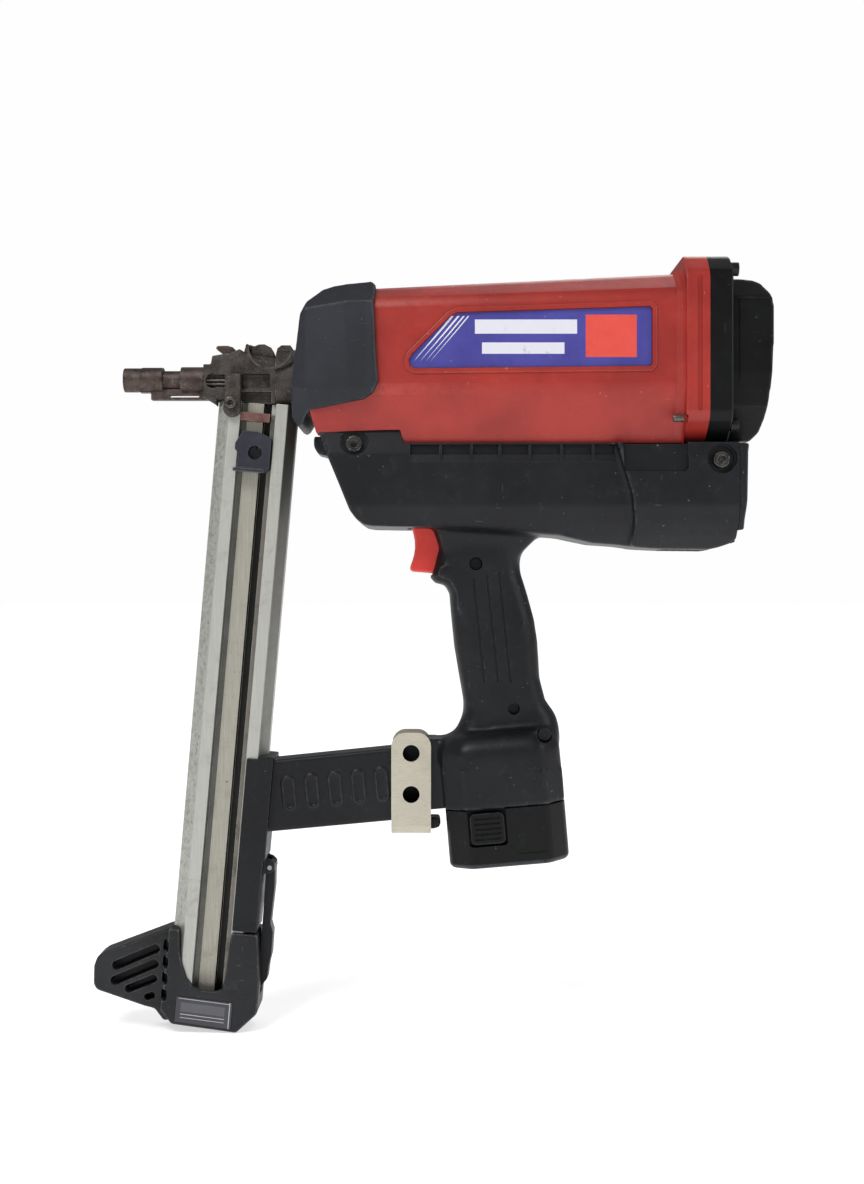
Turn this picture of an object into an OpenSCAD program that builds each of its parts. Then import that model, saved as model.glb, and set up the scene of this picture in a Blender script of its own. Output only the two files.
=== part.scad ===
// Gas-actuated concrete nailer: fan-mixed combustion engine, battery grip and side-fed strip magazine.
// X runs back along the drive axis from the muzzle face at the origin, Z is up, Y is across the tool.

/* [Drive line] */
// Radius of the contact sleeve at the muzzle
tip_r = 8; // [7.5:0.5:10]
// Length of the contact sleeve
tip_len = 26; // [24:1:28]
// Radius of the muzzle bore that the nail leaves through
muzzle_r = 4.2; // [3.8:0.1:4.8]
// Radius of the driver blade
blade_r = 3.2; // [2.8:0.1:3.4]
// Distance that the contact sleeve is pushed in before the tool can fire
probe_travel = 11; // [9:1:11]
// Distance that the piston and blade travel when the tool fires
piston_stroke = 102; // [90:1:102]
// Inner radius of the cylinder
bore_r = 28; // [25:0.5:29]
// Wall of the cylinder
bore_wall = 3.5; // [2.5:0.5:4]
// Inner radius of the sliding combustion sleeve
chamber_r = 36.5; // [36:0.5:37]

/* [Upper housing] */
// Half width of the upper housing at its flat sides
body_half = 46; // [45:1:50]
// Wall of every moulded shell
wall = 3; // [2:0.5:4]
// Back end of the upper housing, where its flange starts
flange_x = 366; // [366:1:372]
// Thickness of the upper housing's flange
flange_t = 15; // [12:1:18]
// Thickness of the black plate behind the flange
plate_t = 15; // [12:1:18]
// Depth of the domed cap behind the plate
cap_depth = 28; // [22:1:34]

/* [Handle] */
// Half width of the lower housing at its front
hull_half = 38; // [36:1:42]
// Extra half width of the lower housing's fuel bay
bay_bulge = 5; // [3:1:8]
// Half width of the grip
grip_half = 18; // [16:1:21]
// Distance that the trigger is pulled
trigger_travel = 6; // [4:1:7]

/* [Battery] */
// Length of the battery pack, front to back
pack_len = 78; // [74:1:90]
// Width of the battery pack, across the tool
pack_wide = 72; // [66:1:80]
// Height of the battery pack that shows below the handle
pack_drop = 38; // [30:1:50]
// Height of the battery stem inside the handle
stem_rise = 34; // [28:1:35]
// Lean of the battery from upright, in degrees
pack_tilt = 4.8; // [0:0.2:8]
// Distance that the battery slides down to come out
pack_travel = 75; // [60:5:90]

/* [Magazine] */
// Width of the magazine rail, front to back
rail_wide = 52; // [48:1:56]
// Thickness of the magazine rail, across the tool
rail_thick = 30; // [28:1:34]
// Length of the magazine rail
rail_len = 392; // [370:1:420]
// Lean of the magazine from upright, in degrees
rail_tilt = 4.9; // [4:0.1:5.5]
// Distance that the nail pusher travels down the rail
pusher_travel = 290; // [200:5:295]

/* [Hanger clip] */
// Radius of the two holes in the hanger clip
clip_hole_r = 5.6; // [4:0.1:6]
// Distance between the two holes
clip_hole_gap = 27; // [20:1:32]
// Sheet thickness of the hanger clip
clip_sheet = 2; // [1.5:0.5:2.5]

/* [Hidden] */

$fn = 48;
fit = 0.3;          // gap between moulded parts that touch or slide
running = 0.06;     // radial gap of a shaft in its hole
skin = 0.4;         // thickness of a label

// Upper housing: heights of its section at the front and the back
seam_z = -45;       // where the red housing meets the black one
side_low_z = -12;   // lower edge of the flat side
front_top = 55;
back_top = 65.5;
front_side = 43.5;
back_side = 50.5;
top_half = 30;      // half width of the flat top
foot_half = 33;     // half width at the seam
nose_end_x = 126;   // front face of the upper housing
taper_x = 150;      // where its front taper ends

// Engine, set out along X from the muzzle
cyl_x = 144;
cyl_back = 278;
stop_t = 10;
cyl_front_wall = 4;
piston_t = 10;
piston_x = cyl_x + cyl_front_wall + stop_t + 2 + piston_stroke;
blade_tip_x = 2 + piston_stroke;
cyl_flange_r = chamber_r - fit;
cyl_flange_t = 10;
sleeve_x = 246;
sleeve_wall = 3;
head_x = 352;
head_t = 10;
sleeve_back = head_x - (probe_travel - 4);
fan_x = 328;
fan_r = 24;
motor_r = 14;
motor_len = 26;
yoke_x = 127;
yoke_t = 4;
rod_r = 1.8;
rod_y = chamber_r + sleeve_wall / 2;
mount_r = 20;
mount_x = 102;
barrel_r = 6.2;
barrel_bore = 3.8;
arm_lo = -13.4;
arm_hi = -9.4;
side_lo = 9;
side_hi = 12;

// Back of the tool
plate_x = flange_x + flange_t;
cap_x = plate_x + plate_t;
flange_half = 50;
flange_top = 75.5;
flange_low = -44;
plate_screw_y = 38;
plate_screw_top = 66;
plate_screw_low = -34;
plate_screw_r = 2.5;

// Lower housing and grip outlines, as [x, z]
hull_outline = [
    [132, seam_z + 6], [174.5, seam_z + 8], [183.5, seam_z + 8], [186, seam_z - 0.1], [401, seam_z - 0.1],
    [401, -101], [396, -107], [391, -109.5], [384, -111.3], [339, -110.5], [309, -108.7],
    [289, -104.2], [200, -98.6], [166, -98], [156.4, -93.6], [152.3, -88.3]
];
grip_outline = [
    [199, -97], [206, -100], [209.5, -112], [206, -126], [204.5, -131], [207.5, -134], [213.5, -136],
    [216.7, -141], [218, -156], [220, -177], [223.4, -198], [226, -214], [226, -221], [222, -229],
    [222, -236], [288, -236], [287.5, -228], [285, -221], [279, -213], [275.3, -198], [273.8, -173.5],
    [271.7, -159], [267.2, -143], [262.4, -127], [262.2, -121.7], [263.7, -116], [266, -111.5],
    [270, -108.3], [279.3, -103.5], [300, -97]
];

// Battery frame: the middle of the split between handle and battery
pack_x = 252.4;
pack_z = -280;
pack_chamfer = 13;
base_rise = 48;
stem_gap = 1;
latch_x = -13;
latch_z = -12;
latch_w = 22;
latch_h = 20;
latch_travel = 2.5;

// Magazine frame: the middle of the rail's top end
clamp_y = rail_thick / 2 + 0.4; // face of the nose clamp, clear of the rail
rail_x = 89.8;
rail_z = -14.3;
channel_lo = -10;   // front wall of the nail channel
channel_hi = 13;    // back wall of the nail channel
floor_y = -5;       // depth of the channel's floor
push_y = rail_thick / 2; // face of the rail that the pusher slides along
lobe_flat = 17.5;   // where the rail's sloping outer faces start
saddle_top = -233;
saddle_low = -349;
slot_lo = 4.4;       // slot that the pusher's tongue runs in
slot_hi = 9.4;
track_lo = -2.3;     // track that the nails slide in
track_hi = 2.7;
latch_pivot_x = 34.2;
latch_pivot_z = -307;

// Arm and hanger clip
clip_x = 191;
clip_z = -260.5;
clip_w = 26;
clip_top = -233.5;
clip_low = -300;
arm_half = 13;
arm_end_x = 200;

// Fuel bay
cell_r = 17.5;
cell_x = 292;
cell_len = 98;
cell_z = -81;
hinge_x = 402.6;
hinge_z = -105.5;
hinge_r = 1.5;
knuckle_r = 3.4;

trigger_x = 190;
trigger_z = -96.5;
trigger_half = 8.5;
slot_gap = 0.6;

// ---------- placing ----------

// Extrudes an [x, z] outline across the tool from y0 to y1
module across(y0, y1) translate([0, y1, 0]) rotate([90, 0, 0]) linear_extrude(y1 - y0) children();

// Extrudes a [y, z] outline back along the tool from x0 to x1
module along(x0, x1) translate([x0, 0, 0]) rotate([90, 0, 90]) linear_extrude(x1 - x0) children();

// A round bar on the drive line, or at [y, z], from x0 to x1
module bar(x0, x1, r, y = 0, z = 0) translate([x0, y, z]) rotate([0, 90, 0]) cylinder(r = r, h = x1 - x0);

// A round pin across the tool at [x, z] from y0 to y1
module pin(x, z, r, y0, y1) translate([x, y1, z]) rotate([90, 0, 0]) cylinder(r = r, h = y1 - y0);

module block(x0, x1, y0, y1, z0, z1) translate([x0, y0, z0]) cube([x1 - x0, y1 - y0, z1 - z0]);

module on_pack() translate([pack_x, 0, pack_z]) rotate([0, -pack_tilt, 0]) children();

module on_rail() translate([rail_x, 0, rail_z]) rotate([0, rail_tilt, 0]) children();

module both_sides() {
    children();
    mirror([0, 1, 0]) children();
}

// ---------- upper housing ----------

// Eight-sided section of the upper housing, as [y, z]
function housing_section(half, top, side, grow) = [
    [-foot_half - grow, seam_z], [-half - grow, side_low_z], [-half - grow, side],
    [-top_half - grow, top + grow], [top_half + grow, top + grow], [half + grow, side],
    [half + grow, side_low_z], [foot_half + grow, seam_z]
];

module housing_slice(x, half, top, side, grow) along(x, x + 0.01)
    polygon(housing_section(half, top, side, grow));

// The upper housing's outer form, made larger by grow
module housing_form(grow) {
    hull() {
        housing_slice(nose_end_x, body_half - 5, front_top - 6, front_side - 6, grow);
        housing_slice(taper_x, body_half, front_top, front_side, grow);
    }
    hull() {
        housing_slice(taper_x, body_half, front_top, front_side, grow);
        housing_slice(flange_x, body_half, back_top, back_side, grow);
    }
}

module flange_outline() polygon([
    [-30, flange_low], [-flange_half, -30], [-flange_half, flange_top - 14], [-36, flange_top],
    [36, flange_top], [flange_half, flange_top - 14], [flange_half, -30], [30, flange_low]
]);

module upper_housing() color([0.74, 0.2, 0.17]) difference() {
    union() {
        difference() {
            housing_form(0);
            block(nose_end_x - 1, flange_x + 1, -60, 60, seam_z - 1, seam_z + 0.1);
        }
        along(flange_x, plate_x) flange_outline();
    }
    hull() {
        housing_slice(taper_x + 4, body_half, front_top, front_side - 1, -wall);
        housing_slice(flange_x - 4, body_half, back_top, back_side - 1, -wall);
    }
    bar(nose_end_x - 1, taper_x + 5, rod_y + rod_r + 0.9);
    across(-60, 60) polygon([[120, -24], [126, -24], [133, -46], [120, -46]]);
    bar(flange_x - 5, plate_x + 1, chamber_r + sleeve_wall + 2.5);
    block(nose_end_x - 1, 182.5, -60, 60, seam_z - 1, seam_z + 8.2);
    block(182, 186.3, -60, 60, seam_z - 1, seam_z + 8.2);
    for (y = [-plate_screw_y, plate_screw_y], z = [plate_screw_top, plate_screw_low])
        bar(flange_x + 1.3, plate_x + 1, plate_screw_r + running, y, z);
    for (s = [-1, 1]) translate([0, s > 0 ? body_half - 1 : -body_half - 1, 0]) across(0, 2)
        label_outline(fit);
}

// Label outline on the flat side, as [x, z], made larger by grow
module label_outline(grow) offset(delta = grow) polygon([
    [190, 6.5], [192, 10], [216, 34], [221, 36.5], [343, 40.5], [344.5, 39], [344.5, 4.5], [343, 3],
    [194, 1.5], [191, 3]
]);

module side_labels() color([0.22, 0.22, 0.6]) for (s = [-1, 1])
    translate([0, s > 0 ? body_half - 1 : -body_half + 1 - skin, 0]) across(0, skin) label_outline(0);

module front_bumper() color([0.13, 0.13, 0.14]) difference() {
    intersection() {
        across(-60, 60) polygon([
            [165.7, 59], [168.7, 55], [167.6, 43], [169.2, 10], [170.5, -7.4], [167.3, -14.3],
            [161.5, -18], [128, -24], [123.6, -26], [121, -32], [119, -33.5], [117, -32.4],
            [114, -27.7], [114, -16], [115.8, 2.7], [118, 18], [120.4, 36.7], [124.5, 45], [136, 55.3]
        ]);
        hull() {
            along(114, 114.1) polygon([[-20, seam_z], [-37, -8], [-37, 28], [-24, 41], [24, 41],
                [37, 28], [37, -8],
                [20, seam_z]]);
            along(124, 124.1) polygon([[-26, seam_z], [-45, -12], [-45, 40], [-32, 51], [32, 51],
                [45, 40],
                [45, -12], [26, seam_z]]);
            housing_slice(taper_x, body_half, front_top, front_side, 3.6);
            housing_slice(171, body_half, front_top + 1, front_side + 0.6, 3.6);
        }
    }
    housing_form(fit);
    bar(100, 127, mount_r + 1);
    on_rail() translate([0, 0, -40]) linear_extrude(60) polygon(rail_envelope(0.8));
}

module rear_plate() color([0.1, 0.1, 0.1]) difference() {
    along(plate_x + fit / 3, cap_x) flange_outline();
    bar(plate_x - 1, cap_x + 1, chamber_r + sleeve_wall + 2.5);
    for (y = [-plate_screw_y, plate_screw_y], z = [plate_screw_top, plate_screw_low])
        bar(plate_x - 1, cap_x + 1, plate_screw_r + running, y, z);
}

// Section of the domed cap, as [y, z], made smaller by inset
module cap_outline(inset) offset(delta = -inset) polygon([
    [-22, -43], [-37, -22], [-39, 0], [-39, 48], [-26, 62.5], [26, 62.5], [39, 48], [39, 0],
    [37, -22], [22, -43]
]);

module cap_form(inset) hull() {
    along(cap_x + fit / 3, cap_x + 11) cap_outline(inset);
    along(cap_x + 11, cap_x + 21 - inset / 2) cap_outline(inset + 4);
    along(cap_x + 21, cap_x + cap_depth - inset) cap_outline(inset + 13);
}

module rear_cap() color([0.09, 0.09, 0.09]) difference() {
    cap_form(0);
    translate([-0.2, 0, 0]) cap_form(wall);
    for (z = [-14 : 7 : 35]) block(cap_x + cap_depth - wall - 1, cap_x + cap_depth + 1, -18, 18, z,
        z + 2.5);
}

module air_filter() color([0.3, 0.3, 0.28]) difference() {
    along(cap_x + 8, cap_x + 16) cap_outline(wall + 5);
    bar(cap_x + 7, cap_x + 17, motor_r + 2);
}

module plate_screws() color([0.35, 0.35, 0.36]) for (y = [-plate_screw_y, plate_screw_y],
    z = [plate_screw_top, plate_screw_low]) difference() {
        union() {
            bar(flange_x + 1.5, cap_x + 0.1, plate_screw_r, y, z);
            bar(cap_x + 0.1, cap_x + 5, 4.4, y, z);
        }
        translate([cap_x + 2.5, y, z]) rotate([0, 90, 0]) cylinder(r = 2.4, h = 4, $fn = 6);
    }

// ---------- handle ----------

module base_outline(inset) offset(delta = -inset) polygon([
    [-pack_len / 2, -pack_wide / 2 + pack_chamfer], [-pack_len / 2 + pack_chamfer, -pack_wide / 2],
    [pack_len / 2 - pack_chamfer, -pack_wide / 2], [pack_len / 2, -pack_wide / 2 + pack_chamfer],
    [pack_len / 2, pack_wide / 2 - pack_chamfer], [pack_len / 2 - pack_chamfer, pack_wide / 2],
    [-pack_len / 2 + pack_chamfer, pack_wide / 2], [-pack_len / 2, pack_wide / 2 - pack_chamfer]
]);

// Rounded section of the lower housing, as [y, z]
module hull_section(half, inset) polygon([
    [-foot_half + inset, seam_z + 9], [-half + inset, seam_z - 6], [-half + inset, -88],
    [-half + 9 + inset / 2, -104], [-half + 22, -114 + inset], [half - 22, -114 + inset],
    [half - 9 - inset / 2, -104], [half - inset, -88], [half - inset, seam_z - 6],
    [foot_half - inset, seam_z + 9]
]);

module handle_form() {
    intersection() {
        across(-60, 60) polygon(hull_outline);
        union() {
            along(120, 340) hull_section(hull_half, 0);
            along(328, 402) hull_section(hull_half + bay_bulge, 0);
        }
    }
    across(-grip_half, grip_half) polygon(grip_outline);
    on_pack() hull() {
        linear_extrude(base_rise - 9) base_outline(0);
        linear_extrude(base_rise) base_outline(8);
    }
    block(arm_end_x + fit, 222, -arm_half, arm_half, -281, -236);
    block(arm_end_x + fit, 211.5, -arm_half, arm_half, -290, -236);
}

// The hollow inside the closed handle
module handle_hollow() {
    intersection() {
        across(-60, 60) offset(delta = -wall) polygon(concat(hull_outline));
        union() {
            along(120, 335) hull_section(hull_half, wall);
            along(331, 402) hull_section(hull_half + bay_bulge, wall);
        }
    }
    block(189, 397, -hull_half + wall + 6, hull_half - wall - 6, seam_z - 8, seam_z + 1);
    bar(cell_x - 12, 402, cell_r + 1.2, 0, cell_z);
    across(-grip_half + wall, grip_half - wall) offset(delta = -wall) polygon(grip_outline);
    block(232, 270, -grip_half + wall, grip_half - wall, -112, -92);
    on_pack() translate([0, 0, -1]) linear_extrude(stem_rise + 3) base_outline(wall);
    on_pack() block(-17, 17, -11, 11, stem_rise, stem_rise + 6);
}

// Bolt and screw places as [x, z, half width there]
bolt_places = [[154.7, -46], [389.5, -56.5]];
screw_places = [[233.5, -122.5, 18], [258.3, -217.5, 18], [278, -233.5, 29]];
bolt_r = 3;
bolt_head_r = 5;
bolt_seat_r = 8;

module half_shell() difference() {
    union() {
        handle_form();
        block(127.5, 140, -12, 12, -52, -39.2);
    }
    difference() {
        handle_hollow();
        for (p = bolt_places) {
            pin(p[0], p[1], bolt_r + 2, -60, 60);
            both_sides() pin(p[0], p[1], bolt_seat_r + 2, 28, 60);
        }
        for (p = screw_places) pin(p[0], p[1], 6, -60, 60);
    }
    for (p = bolt_places) pin(p[0], p[1], bolt_r + running, -60, 60);
    for (p = screw_places) pin(p[0], p[1], 2 + running, -60, 60);
    pin(bolt_places[0][0], bolt_places[0][1], bolt_seat_r, -60, -hull_half + 4.5);
    pin(bolt_places[1][0], bolt_places[1][1], bolt_seat_r, -60, -hull_half - bay_bulge + 5.5);
    pin(bolt_places[0][0], bolt_places[0][1], 6.5, hull_half - 5, 60);
    pin(bolt_places[1][0], bolt_places[1][1], 6.5, hull_half + bay_bulge - 6, 60);
    for (p = screw_places) pin(p[0], p[1], p[2] > 20 ? 5.2 : 4.2, -60, -p[2] + 8);
    for (p = screw_places) pin(p[0], p[1], 3.6, p[2] - 6, 60);
    // trigger slot
    block(188.5, 229, -trigger_half - slot_gap, trigger_half + slot_gap, -129.6, -95.4);
    // window where the vent slots open
    for (i = [0 : 6]) both_sides()
        block(192 + i * 18.4, 208.6 + i * 18.4, -hull_half - 1, -hull_half + wall + 1, -58, -51.5);
    // mouth of the fuel bay
    bar(380, 403, cell_r + 1.2, 0, cell_z);
    block(397, 403, -7, 7, hinge_z - 6, hinge_z + 5);
    block(400.5, 403, -60, 60, -120, -101.3);
}

module closed_shell() difference() {
    union() {
        half_shell();
        door_lugs();
    }
    pin(hinge_x, hinge_z, hinge_r + 0.02, -60, 60);
}

module left_handle_shell() color([0.15, 0.15, 0.17]) intersection() {
    closed_shell();
    block(100, 420, -60, 0, -330, 0);
}

module right_handle_shell() color([0.15, 0.15, 0.17]) intersection() {
    closed_shell();
    block(100, 420, 0.02, 60, -330, 0);
}

module socket_bolt(p, y_head, y_end) {
    difference() {
        union() {
            pin(p[0], p[1], bolt_r, y_head, y_end);
            pin(p[0], p[1], bolt_head_r, y_head - 6, y_head);
        }
        translate([p[0], y_head - 3, p[1]]) rotate([90, 0, 0]) cylinder(r = 2.9, h = 4, $fn = 6);
    }
    difference() {
        translate([p[0], y_end - 0.5, p[1]]) rotate([90, 0, 0]) cylinder(r = 5.6, h = 4.2, $fn = 6);
        pin(p[0], p[1], bolt_r + running, y_end - 6, y_end + 1);
    }
}

module housing_bolts() color([0.45, 0.45, 0.46]) {
    socket_bolt(bolt_places[0], -hull_half + 4.4, hull_half - 0.2);
    socket_bolt(bolt_places[1], -hull_half - bay_bulge + 5.4, hull_half + bay_bulge - 1.2);
}

module handle_screws() color([0.3, 0.3, 0.3]) for (p = screw_places) {
    pin(p[0], p[1], 2, -p[2] + 8, p[2] - 6.2);
    pin(p[0], p[1], p[2] > 20 ? 4 : 3.4, -p[2] + 5.5, -p[2] + 8 - 0.02);
}

// ---------- engine ----------

module cylinder_tube() color([0.62, 0.62, 0.64]) difference() {
    union() {
        bar(cyl_x, cyl_back, bore_r + bore_wall);
        for (x = [cyl_x + 16 : 9 : sleeve_x - 4]) bar(x, x + 2, bore_r + bore_wall + 2.8);
        bar(cyl_back - cyl_flange_t, cyl_back, cyl_flange_r);
    }
    bar(cyl_x + cyl_front_wall, cyl_back + 1, bore_r);
    bar(cyl_x - 1, cyl_x + cyl_front_wall + 1, blade_r + 1.2);
    for (a = [45 : 90 : 315]) rotate([a, 0, 0]) bar(cyl_x - 1, cyl_x + cyl_front_wall + 1, 3, 0, 20);
}

module piston_stop() color([0.2, 0.2, 0.2]) difference() {
    bar(cyl_x + cyl_front_wall + 0.1, cyl_x + cyl_front_wall + stop_t, bore_r - 4);
    bar(cyl_x, cyl_x + cyl_front_wall + stop_t + 1, 12);
}

module piston() color([0.7, 0.7, 0.7]) difference() {
    bar(piston_x, piston_x + piston_t, bore_r - 0.3);
    for (x = [piston_x + 2.4, piston_x + 6.1]) difference() {
        bar(x, x + 1.6, bore_r + 1);
        bar(x - 1, x + 3, bore_r - 2);
    }
    bar(piston_x - 1, piston_x + piston_t + 1, blade_r + 0.02);
}

module piston_rings() color([0.3, 0.3, 0.3]) for (x = [piston_x + 2.5, piston_x + 6.2]) difference() {
    bar(x, x + 1.4, bore_r - running);
    bar(x - 1, x + 3, bore_r - 1.95);
}

module driver_blade() color([0.75, 0.75, 0.76])
    bar(blade_tip_x, piston_x + piston_t, blade_r);

module combustion_sleeve() color([0.66, 0.66, 0.68]) difference() {
    bar(sleeve_x, sleeve_back, chamber_r + sleeve_wall);
    bar(sleeve_x + 3, sleeve_back + 1, chamber_r);
    bar(sleeve_x - 1, sleeve_x + 4, bore_r + bore_wall + 0.8);
}

module cylinder_head() color([0.55, 0.55, 0.57]) difference() {
    union() {
        bar(head_x, head_x + head_t, cyl_flange_r);
        bar(head_x + head_t - 2, flange_x + 10, chamber_r + sleeve_wall + 2.2);
    }
    bar(head_x + 4, flange_x + 11, motor_r + fit);
    bar(head_x - 1, flange_x + 1, 2.2);
    bar(head_x - 1, flange_x + 11, 5.05, 0, 26);
}

module fan_motor() color([0.5, 0.5, 0.5]) difference() {
    bar(head_x + 4.1, head_x + 4.1 + motor_len, motor_r);
    bar(head_x + 4, head_x + 18, 1.5 + running);
}

module fan() color([0.75, 0.6, 0.3]) {
    difference() {
        union() {
            bar(fan_x, fan_x + 8, 5);
            for (a = [0 : 72 : 288]) rotate([a, 0, 0]) translate([fan_x + 4, 0, 3.5]) rotate([0, 0, 35])
                translate([-1, -6, 0]) cube([2, 12, fan_r - 4.5]);
        }
        bar(fan_x - 1, fan_x + 9, 1.5);
    }
    bar(fan_x, head_x + 17, 1.5);
}

module spark_plug() color([0.85, 0.83, 0.78]) {
    bar(head_x - 3, head_x, 1, 0, 26);
    bar(head_x, head_x + 26, 5, 0, 26);
}

// ---------- contact element ----------

module contact_tip() color([0.3, 0.24, 0.23]) difference() {
    union() {
        bar(0, 12, tip_r);
        bar(12, tip_len, tip_r + 0.4);
    }
    bar(-1, 10, muzzle_r);
    bar(9, tip_len + 1, barrel_r + running);
    block(10.4, tip_len + 1, -3.3, 3.3, -12, -3);
}

module contact_arm() color([0.32, 0.26, 0.25]) {
    difference() {
        union() {
            block(10.5, 59, -3.2, 3.2, -8.4, -6.4);
            block(18, 61, -3.2, 3.2, arm_lo, -8.4);
        }
        block(30, 50, -4, 4, -11.6, -10.2);
    }
    block(57, 61, 3.1, side_hi, arm_lo, arm_hi);
    block(57, yoke_x, side_lo, side_hi, arm_lo, arm_hi);
}

module linkage_yoke() color([0.5, 0.5, 0.5]) {
    difference() {
        union() {
            block(yoke_x, yoke_x + yoke_t, -rod_y - 2, rod_y + 2, -4, 4);
            block(yoke_x, yoke_x + yoke_t, -6, side_hi + 1, arm_lo, 6);
        }
        bar(yoke_x - 1, yoke_x + yoke_t + 1, blade_r + 0.8);
    }
    for (y = [-rod_y, rod_y]) bar(yoke_x + yoke_t, sleeve_x, rod_r, y, 0);
}

module chamber_spring() color([0.6, 0.6, 0.6]) {
    wire = 0.8;
    turns = 3;
    x0 = sleeve_x + 3 + wire + 0.1;
    pitch = (cyl_back - cyl_flange_t - wire - 0.1 - x0) / turns;
    helix(turns, 24, bore_r + bore_wall + 2, wire, x0, pitch, 0, 0);
}

// A wire coil round an axis along X, from x0, centred at [y, z]
module helix(turns, steps, r, wire, x0, pitch, y, z, sides = 6) {
    rings = turns * steps;
    points = [for (i = [0 : rings], j = [0 : sides - 1])
        let (a = 360 * i / steps, b = 360 * j / sides, rr = r + wire * cos(b))
        [x0 + pitch * i / steps + wire * sin(b), y + rr * cos(a), z + rr * sin(a)]];
    faces = concat(
        [[for (j = [0 : sides - 1]) j]],
        [[for (j = [sides - 1 : -1 : 0]) rings * sides + j]],
        [for (i = [0 : rings - 1], j = [0 : sides - 1]) let (k = (j + 1) % sides)
            [i * sides + j, (i + 1) * sides + j, (i + 1) * sides + k, i * sides + k]]
    );
    polyhedron(points, faces);
}

// ---------- nose ----------

module nose_mount() color([0.3, 0.3, 0.3]) difference() {
    union() {
        bar(mount_x, cyl_x - 0.1, mount_r);
        bar(cyl_x - 4, cyl_x - 0.1, 27);
    }
    bar(mount_x + 4, cyl_x + 1, mount_r - 3.5);
    bar(mount_x - 1, cyl_x, blade_r + 1.2);
    block(mount_x - 1, cyl_x + 1, side_lo - 0.4, side_hi + 0.4, arm_lo - 0.5, arm_hi + 0.4);
    block(yoke_x - 1, yoke_x + yoke_t + probe_travel + 0.5, -30, 30, arm_lo - 1, 7);
    on_rail() translate([0, 0, -40]) linear_extrude(38.5) polygon(rail_envelope(0.4));
}

module nose_barrel() color([0.33, 0.27, 0.26]) difference() {
    union() {
        bar(21.5, 38, barrel_r);
        bar(38, 54, 8.8);
    }
    bar(20, 55, barrel_bore);
    block(37, 55, -3.5, 3.5, -14, -5.8);
}

module nose_block() color([0.27, 0.24, 0.23]) difference() {
    across(-13, 13) polygon([
        [54.1, 9], [59, 9], [60, 14.5], [72, 16.5], [78, 19], [84, 15.5], [101.9, 13], [101.9, -16.9],
        [63.3, -13.65], [62.9, -18.5], [61.5, -17], [54.1, -12.5]
    ]);
    bar(53, 103, barrel_bore);
    // way of the contact arm, out to the far flank
    block(53, 72.5, -3.5, 3.5, -20, -5.8);
    block(53, 72.5, -3.5, side_hi + 3, -20, arm_hi + 0.5);
    block(53, 103, side_lo - 0.4, side_hi + 3, arm_lo - 0.6, arm_hi + 0.5);
    // nail channel windows on both flanks
    for (s = [-1, 1]) {
        block(57, 68.5, s > 0 ? 8.6 : -14, s > 0 ? 14 : -8.6, -6, 2);
        block(79.5, 98, s > 0 ? 8.6 : -14, s > 0 ? 14 : -8.6, -7, 2.4);
    }
    // feed throat between the magazine and the bore
    block(80, 98, track_lo, track_hi, -22, -1);
}

module nose_clamp() color([0.25, 0.22, 0.21]) difference() {
    across(-clamp_y - 4.1, -clamp_y) polygon([
        [69.2, 2], [79.6, 2], [79.6, -18], [78, -24], [74, -26.5], [69.6, -24], [67.8, -19], [69.2, -12]
    ]);
    pin(73.3, -17.5, 2.5 + running, -clamp_y - 6, -clamp_y + 5);
}

module nose_screw() color([0.6, 0.6, 0.6]) difference() {
    union() {
        pin(73.3, -17.5, 2.5, -clamp_y - 4, -clamp_y + 0.1);
        pin(73.3, -17.5, 3.8, -clamp_y - 7.6, -clamp_y - 4.15);
    }
    translate([73.3, -clamp_y - 5.1, -17.5]) rotate([90, 0, 0]) cylinder(r = 2, h = 4, $fn = 6);
}

module nose_catch() color([0.3, 0.27, 0.26]) {
    across(-6, 6) polygon([
        [61.5, 21], [63, 22.6], [69, 21], [76, 18.4], [71, 16.6], [66, 15.75], [63.5, 18.5]
    ]);
}

bail_x = 84.3;
bail_z = 19.5;
bail_r = 14.7;

module bail_lugs() color([0.26, 0.24, 0.23]) {
    difference() {
        across(-9, 9) polygon([
            [80.5, 18], [81.5, 21.6], [84.3, 22.4], [87.5, 21.4], [90, 22.6], [94, 22.8],
            [98.5, 20.5], [100.2, 16],
            [100, 13.5], [84, 15.7], [81.5, 17.2]
        ]);
        pin(bail_x, bail_z, 1.2 + running, -20, 20);
    }
    difference() {
        across(-8, 8) polygon([[102.1, 16], [102.1, 20], [105, 22.3], [111, 22.3], [112.6, 20],
            [112.6, 16]]);
        bar(101, 114, mount_r);
    }
}

module wire_bail() color([0.4, 0.38, 0.36]) {
    pin(bail_x, bail_z, 1.2, -mount_r - 1.9, mount_r + 1.9);
    for (y = [-mount_r - 1.9, mount_r + 0.3]) across(y, y + 1.6) difference() {
        translate([bail_x + bail_r, bail_z]) circle(r = bail_r + 0.8);
        translate([bail_x + bail_r, bail_z]) circle(r = bail_r - 0.8);
        polygon([[80, 20.5], [99, 19.5], [120, 15], [120, 40], [80, 40]]);
    }
}

// ---------- trigger ----------

module trigger() color([0.93, 0.33, 0.3]) difference() {
    union() {
        across(-trigger_half, trigger_half) polygon([
            [trigger_x + 0.5, trigger_z], [trigger_x + 2.6, trigger_z - 7],
            [trigger_x + 3.4, trigger_z - 15],
            [trigger_x + 1.6, trigger_z - 23], [trigger_x, trigger_z - 28],
            [trigger_x + 1.2, trigger_z - 30.6],
            [trigger_x + 15, trigger_z - 32], [trigger_x + 17, trigger_z - 22],
            [trigger_x + 18.5, trigger_z - 12],
            [trigger_x + 17, trigger_z]
        ]);
        block(trigger_x + 14, trigger_x + 28, -5, 5, trigger_z - 21, trigger_z - 7);
    }
    bar(trigger_x + 22, trigger_x + 29, 3, 0, trigger_z - 14);
}

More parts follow.
